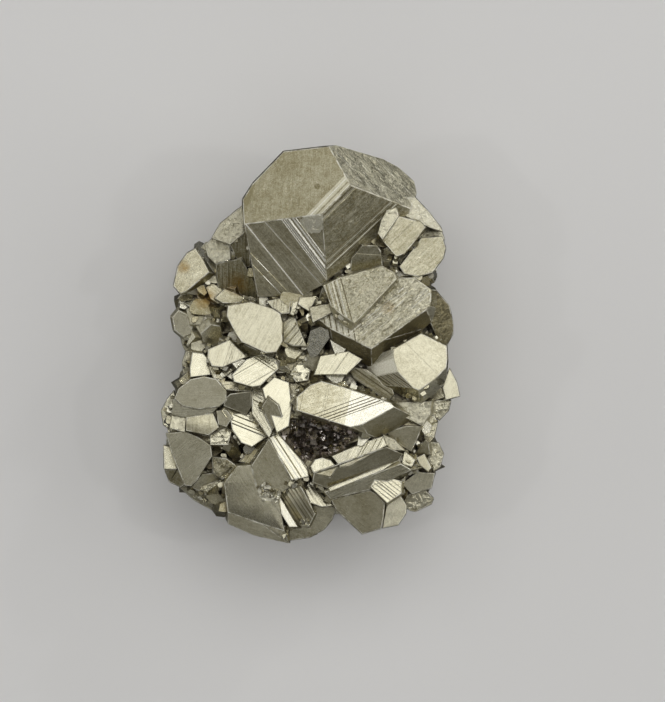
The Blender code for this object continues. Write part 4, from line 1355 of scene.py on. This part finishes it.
# %% Relief for the reflections
RELIEF = 0.09 * MM


def flaky_relief(recipe, face, rounding, height, grain):
    """The normal, rounded at the edges, tipped by the flakes and raised by the height."""
    small = face.tips(*SMALL_FLAKES, grain ** 2 * 0.5)
    large = face.tips(*LARGE_FLAKES, grain ** 2 * 0.3)
    tips = vector(recipe, "ADD", small, large)["Vector"]
    rounded = recipe.node("ShaderNodeBevel", {"samples": 4}, {"Radius": rounding * MM})["Normal"]
    flaky = vector(recipe, "NORMALIZE", vector(recipe, "ADD", rounded, tips)["Vector"])["Vector"]
    sockets = {"Height": height, "Distance": RELIEF, "Strength": 1.0, "Normal": flaky}
    return recipe.node("ShaderNodeBump", {}, sockets)["Normal"]


print(f"the bump is {RELIEF / MM:.2f} mm high")

# %% [markdown]
# ## The recipe
# From the film to the gloss, every line mixes the face's own numbers with the patterns. A near black
# colour, partly dirt and partly painted shade, gathers where little of the sky is seen, which the Ambient
# Occlusion node measures.

# %% Pyrite
MOTTLE, CLOUDS, PITS, PATCHES, CHIPS = 0.45, 0.13, 3.2, 1.1, 0.5  # repeats per mm


def pyrite(name, fresh=FRESH, rounding=0.12, dirt_and_shade_depth=3.0, dirt_and_shade_amount=3.0):
    """The metal. Edges are rounded by rounding mm; hollows about the given depth in mm deep get grime and
    painted shade.
    """
    recipe = Recipe(bpy.data.materials.new(name))
    place = recipe.node("ShaderNodeTexCoord")["Object"]
    face = FacePlace(recipe, place)
    finish = recipe.node("ShaderNodeAttribute", {"attribute_name": "finish"})
    parts = recipe.node("ShaderNodeSeparateColor", {}, {"Color": finish["Color"]})
    dull, tarnish, grain, lines = parts["Red"], parts["Green"], parts["Blue"], finish["Alpha"]
    edge_wear_and_highlight = recipe.node("ShaderNodeAttribute", {"attribute_name": "wear_and_highlight"})["Fac"]

    fine, wide = face.streaks(lines, *FINE), face.streaks(lines, *WIDE)
    mottle = noise(recipe, place, MOTTLE * PER_MM, detail=6.0, roughness=0.75)
    clouds = noise(recipe, place, CLOUDS * PER_MM, detail=3.0)
    pits = noise(recipe, place, PITS * PER_MM, detail=3.0, roughness=0.75)
    patches = noise(recipe, place, PATCHES * PER_MM, detail=8.0, roughness=0.8)
    # Spots of the rims go near white: partly chips, partly painted highlights.
    chips_and_highlights = clamped(recipe, edge_wear_and_highlight * (noise(recipe, place, CHIPS * PER_MM, detail=3.0) - 0.4) * 6)
    height = (fine * 0.6 + wide * 0.4) * lines + pits * (grain * 1.1 + 0.08)
    relief = flaky_relief(recipe, face, rounding, height, grain)

    film = tarnish + ((fine - 0.5) * 1.6 + (wide - 0.5) * 0.8) * lines
    film = film + (mottle - 0.5) * 0.5 + (clouds - 0.5) * 0.7
    film = film + (pits - 0.5) * (grain * 2.6 + 1.0) + (patches - 0.5) * (grain * 3 + 0.8)
    # Negative tarnish and high pits go near white: partly wear, partly painted glints.
    metal = blend(recipe, clamped(recipe, 0 - tarnish + (pits - 0.5) * (2 + grain * 3)), fresh, WORN_AND_HIGHLIGHT)
    metal = blend(recipe, clamped(recipe, film), metal, TARNISHED)
    metal = blend(recipe, chips_and_highlights, metal, WORN_AND_HIGHLIGHT)
    metal = blend(recipe, stained(recipe, place, mottle), metal, RUST)

    # The occlusion darkens hollows towards near black: partly dirt, partly painted shade.
    occlusion = recipe.node("ShaderNodeAmbientOcclusion", {"samples": 4}, {"Distance": dirt_and_shade_depth * MM})
    coated = clamped(recipe, tarnish - 1 + (mottle - 0.5) * 0.6)
    dirt_and_shade = clamped(recipe, (1 - occlusion["AO"]) ** 2 * (mottle - 0.35) * dirt_and_shade_amount + coated)
    gloss = dull + (mottle - 0.5) * 0.12 + (fine - 0.5) * 0.12 + dirt_and_shade * 0.3 + chips_and_highlights * 0.2
    sockets = {
        "Base Color": blend(recipe, dirt_and_shade, metal, DIRT_AND_SHADE),
        "Roughness": clamped(recipe, gloss),
        "Metallic": 1 - dirt_and_shade * 0.6,
        "Normal": relief,
    }
    shader = recipe.node("ShaderNodeBsdfPrincipled", {}, sockets)["BSDF"]
    recipe.node("ShaderNodeOutputMaterial", {}, {"Surface": shader})
    return recipe.block


SHARP = 0.04  # mm
crystal_body.data.materials.append(pyrite("pyrite_faces"))
small_crystals.data.materials.append(pyrite("sharp_pyrite", rounding=SHARP, dirt_and_shade_depth=4.0, dirt_and_shade_amount=8.0))
cavity_crust.data.materials.append(pyrite("dark_pyrite", fresh=DARK, rounding=SHARP, dirt_and_shade_amount=5.0))
for piece in (crystal_body, small_crystals, cavity_crust):
    material = piece.data.materials[0]
    print(piece.name, "wears", material.name, "with", len(material.node_tree.nodes), "nodes")

# %% [markdown]
# ## Light
# A metal shows what it mirrors. A face that leans back a little should meet something bright, a level
# face a dim ceiling, and a steep face the dark room, so the light is a set of soft panels, each placed
# where the mirror image of one group of faces lies. Three tiny lamps make the glints.

# %% Lamp makers
CEILING = 1.7  # metres
SIDE_DISTANCE = 1.6
SPARK_SIZE = 0.05
SPARK_GLOW = 90
WATTS = 4  # for each square metre of a panel that glows with a brightness of 1


def soft_panel(name, width, depth, glow, place, facing):
    """A rectangular lamp at place whose light leaves along facing, of an even brightness glow."""
    lamp = bpy.data.lights.new(name, "AREA")
    lamp.shape = "RECTANGLE"
    lamp.size, lamp.size_y = width, depth
    lamp.energy = WATTS * glow * width * depth
    holder = bpy.data.objects.new(name, lamp)
    holder.location = place
    holder.rotation_mode = "QUATERNION"
    holder.rotation_quaternion = facing.to_track_quat("-Z", "Y")
    holder.visible_camera = False
    bpy.context.scene.collection.objects.link(holder)
    return holder


def ceiling_panel(name, left, right, front, back, glow):
    """A level panel above the cluster, whose four sides are given in parts of its height."""
    place = Vector(((left + right) / 2, (front + back) / 2, 1)) * CEILING
    return soft_panel(name, (right - left) * CEILING, (back - front) * CEILING, glow, place, DOWN)


def side_panel(name, toward, low, high, width, glow):
    """An upright panel toward an azimuth, between two angles from straight up."""
    turn = math.radians(toward)
    outward = Vector((math.cos(turn), math.sin(turn), 0))
    top = SIDE_DISTANCE / math.tan(math.radians(low))
    bottom = SIDE_DISTANCE / math.tan(math.radians(high))
    place = outward * SIDE_DISTANCE + Vector((0, 0, (top + bottom) / 2))
    return soft_panel(name, width, top - bottom, glow, place, -outward)


def spark_lamp(name, toward, tilt):
    """A small bright lamp, tilt degrees from straight up, that sparkles on edges and flakes."""
    turn, lean = math.radians(toward), math.radians(tilt)
    way = Vector((math.cos(turn) * math.sin(lean), math.sin(turn) * math.sin(lean), math.cos(lean)))
    return soft_panel(name, SPARK_SIZE, SPARK_SIZE, SPARK_GLOW, way * SIDE_DISTANCE, -way)


print("the ceiling panels hang", CEILING, "m up and use", WATTS, "W for each square metre and unit of glow")

# %% [markdown]
# ## Placing the lamps
# The key panel stands towards the back, where faces that lean back by some 8 to 20 degrees mirror it. The
# side panels serve the steeper faces, and a lamp of the floor's own leaves the crystals' reflections
# alone.

# %% Lamps
ceiling_panel("key_panel", left=-0.22, right=0.55, front=0.26, back=1.1, glow=1.15)
ceiling_panel("overhead_panel", left=-0.45, right=0.55, front=-0.35, back=0.22, glow=0.3)
ceiling_panel("strip_panel", left=-0.9, right=-0.37, front=0.4, back=0.95, glow=1.1)
side_panel("right_panel", toward=12, low=43, high=82, width=1.8, glow=1.0)
side_panel("left_panel", toward=168, low=58, high=86, width=1.6, glow=0.75)
side_panel("front_panel", toward=-97, low=43, high=82, width=1.6, glow=0.2)
side_panel("back_panel", toward=90, low=70, high=86, width=2.0, glow=0.4)
spark_lamp("spark_right", toward=0, tilt=38)
spark_lamp("spark_left", toward=185, tilt=42)
spark_lamp("spark_back", toward=45, tilt=62)

floor_lamp = ceiling_panel("floor_lamp", left=-0.6, right=0.6, front=-0.6, back=0.6, glow=0.62)

print("lamps:", sorted(lamp.name for lamp in bpy.data.lights))

# %% [markdown]
# ## The room around
# Steep faces mirror the room beyond the lamps. A black room would make the cluster's sides black, so the
# world is dim above and below and a little brighter in a band at the height of the horizon.

# %% A dim room with a brighter band
ROOM = [(0.0, 0.08), (0.28, 0.09), (0.38, 0.27), (0.55, 0.27), (0.65, 0.1), (1.0, 0.1)]  # height, glow
room = Recipe(bpy.data.worlds.new("studio"))
way = room.node("ShaderNodeTexCoord")["Generated"]
height = room.node("ShaderNodeSeparateXYZ", {}, {"Vector": way})["Z"] * 0.5 + 0.5
band = room.node("ShaderNodeValToRGB", {}, {"Fac": height})
ramp = band.node.color_ramp
for place, glow in ROOM[1:-1]:
    ramp.elements.new(place)
for stop, (place, glow) in zip(ramp.elements, ROOM):
    stop.position, stop.color = place, (glow, glow, glow, 1)
sky = room.node("ShaderNodeBackground", {}, {"Color": band["Color"]})["Background"]
room.node("ShaderNodeOutputWorld", {}, {"Surface": sky})
bpy.context.scene.world = room.block
print("the room's glow is", min(glow for _, glow in ROOM), "to", max(glow for _, glow in ROOM))

# %% [markdown]
# ## A pale floor
# The cluster rests on plain pale paper. A polished crystal would mirror it, though, and its steep faces
# would turn white, so the paper is hidden from reflections and a lamp that lights nothing else keeps it
# pale.

# %% Floor
FLOOR_REACH = 3.0
PAPER = (0.8, 0.79, 0.77, 1)
sheet = bmesh.new()
bmesh.ops.create_grid(sheet, x_segments=1, y_segments=1, size=FLOOR_REACH)
floor_mesh = bpy.data.meshes.new("floor")
sheet.to_mesh(floor_mesh)
sheet.free()
floor = bpy.data.objects.new("floor", floor_mesh)
bpy.context.scene.collection.objects.link(floor)
paper = Recipe(bpy.data.materials.new("pale_paper"))
matt_paper = paper.node("ShaderNodeBsdfPrincipled", {}, {"Base Color": PAPER, "Roughness": 0.9})["BSDF"]
paper.node("ShaderNodeOutputMaterial", {}, {"Surface": matt_paper})
floor_mesh.materials.append(paper.block)
floor.visible_glossy = False
floor_only = bpy.data.collections.new("floor_only")
floor_only.objects.link(floor)
floor_lamp.light_linking.receiver_collection = floor_only
print("floor is", 2 * FLOOR_REACH, "m wide")

# %% [markdown]
# ## Camera
# The camera looks straight down on the crystals from more than a metre away, so that tall and low
# crystals are seen from the same side. The lens follows from the width that should fit in the view at
# that distance.

# %% Camera above the cluster
SENSOR = 36
VIEW_HEIGHT = 0.1755  # metres seen from top to bottom
VIEW_LEVEL = 0.035  # the level of most crystal faces
VIEW_CENTRE = (0.0056, -0.0015)
DISTANCE = 1.1
camera_data = bpy.data.cameras.new("camera")
camera_data.sensor_width = SENSOR
camera_data.lens = SENSOR * DISTANCE / VIEW_HEIGHT
camera = bpy.data.objects.new("camera", camera_data)
camera.location = (*VIEW_CENTRE, VIEW_LEVEL + DISTANCE)
bpy.context.scene.collection.objects.link(camera)
bpy.context.scene.camera = camera
bpy.context.scene.view_settings.view_transform = "Standard"
print(f"lens {camera_data.lens:.0f} mm")
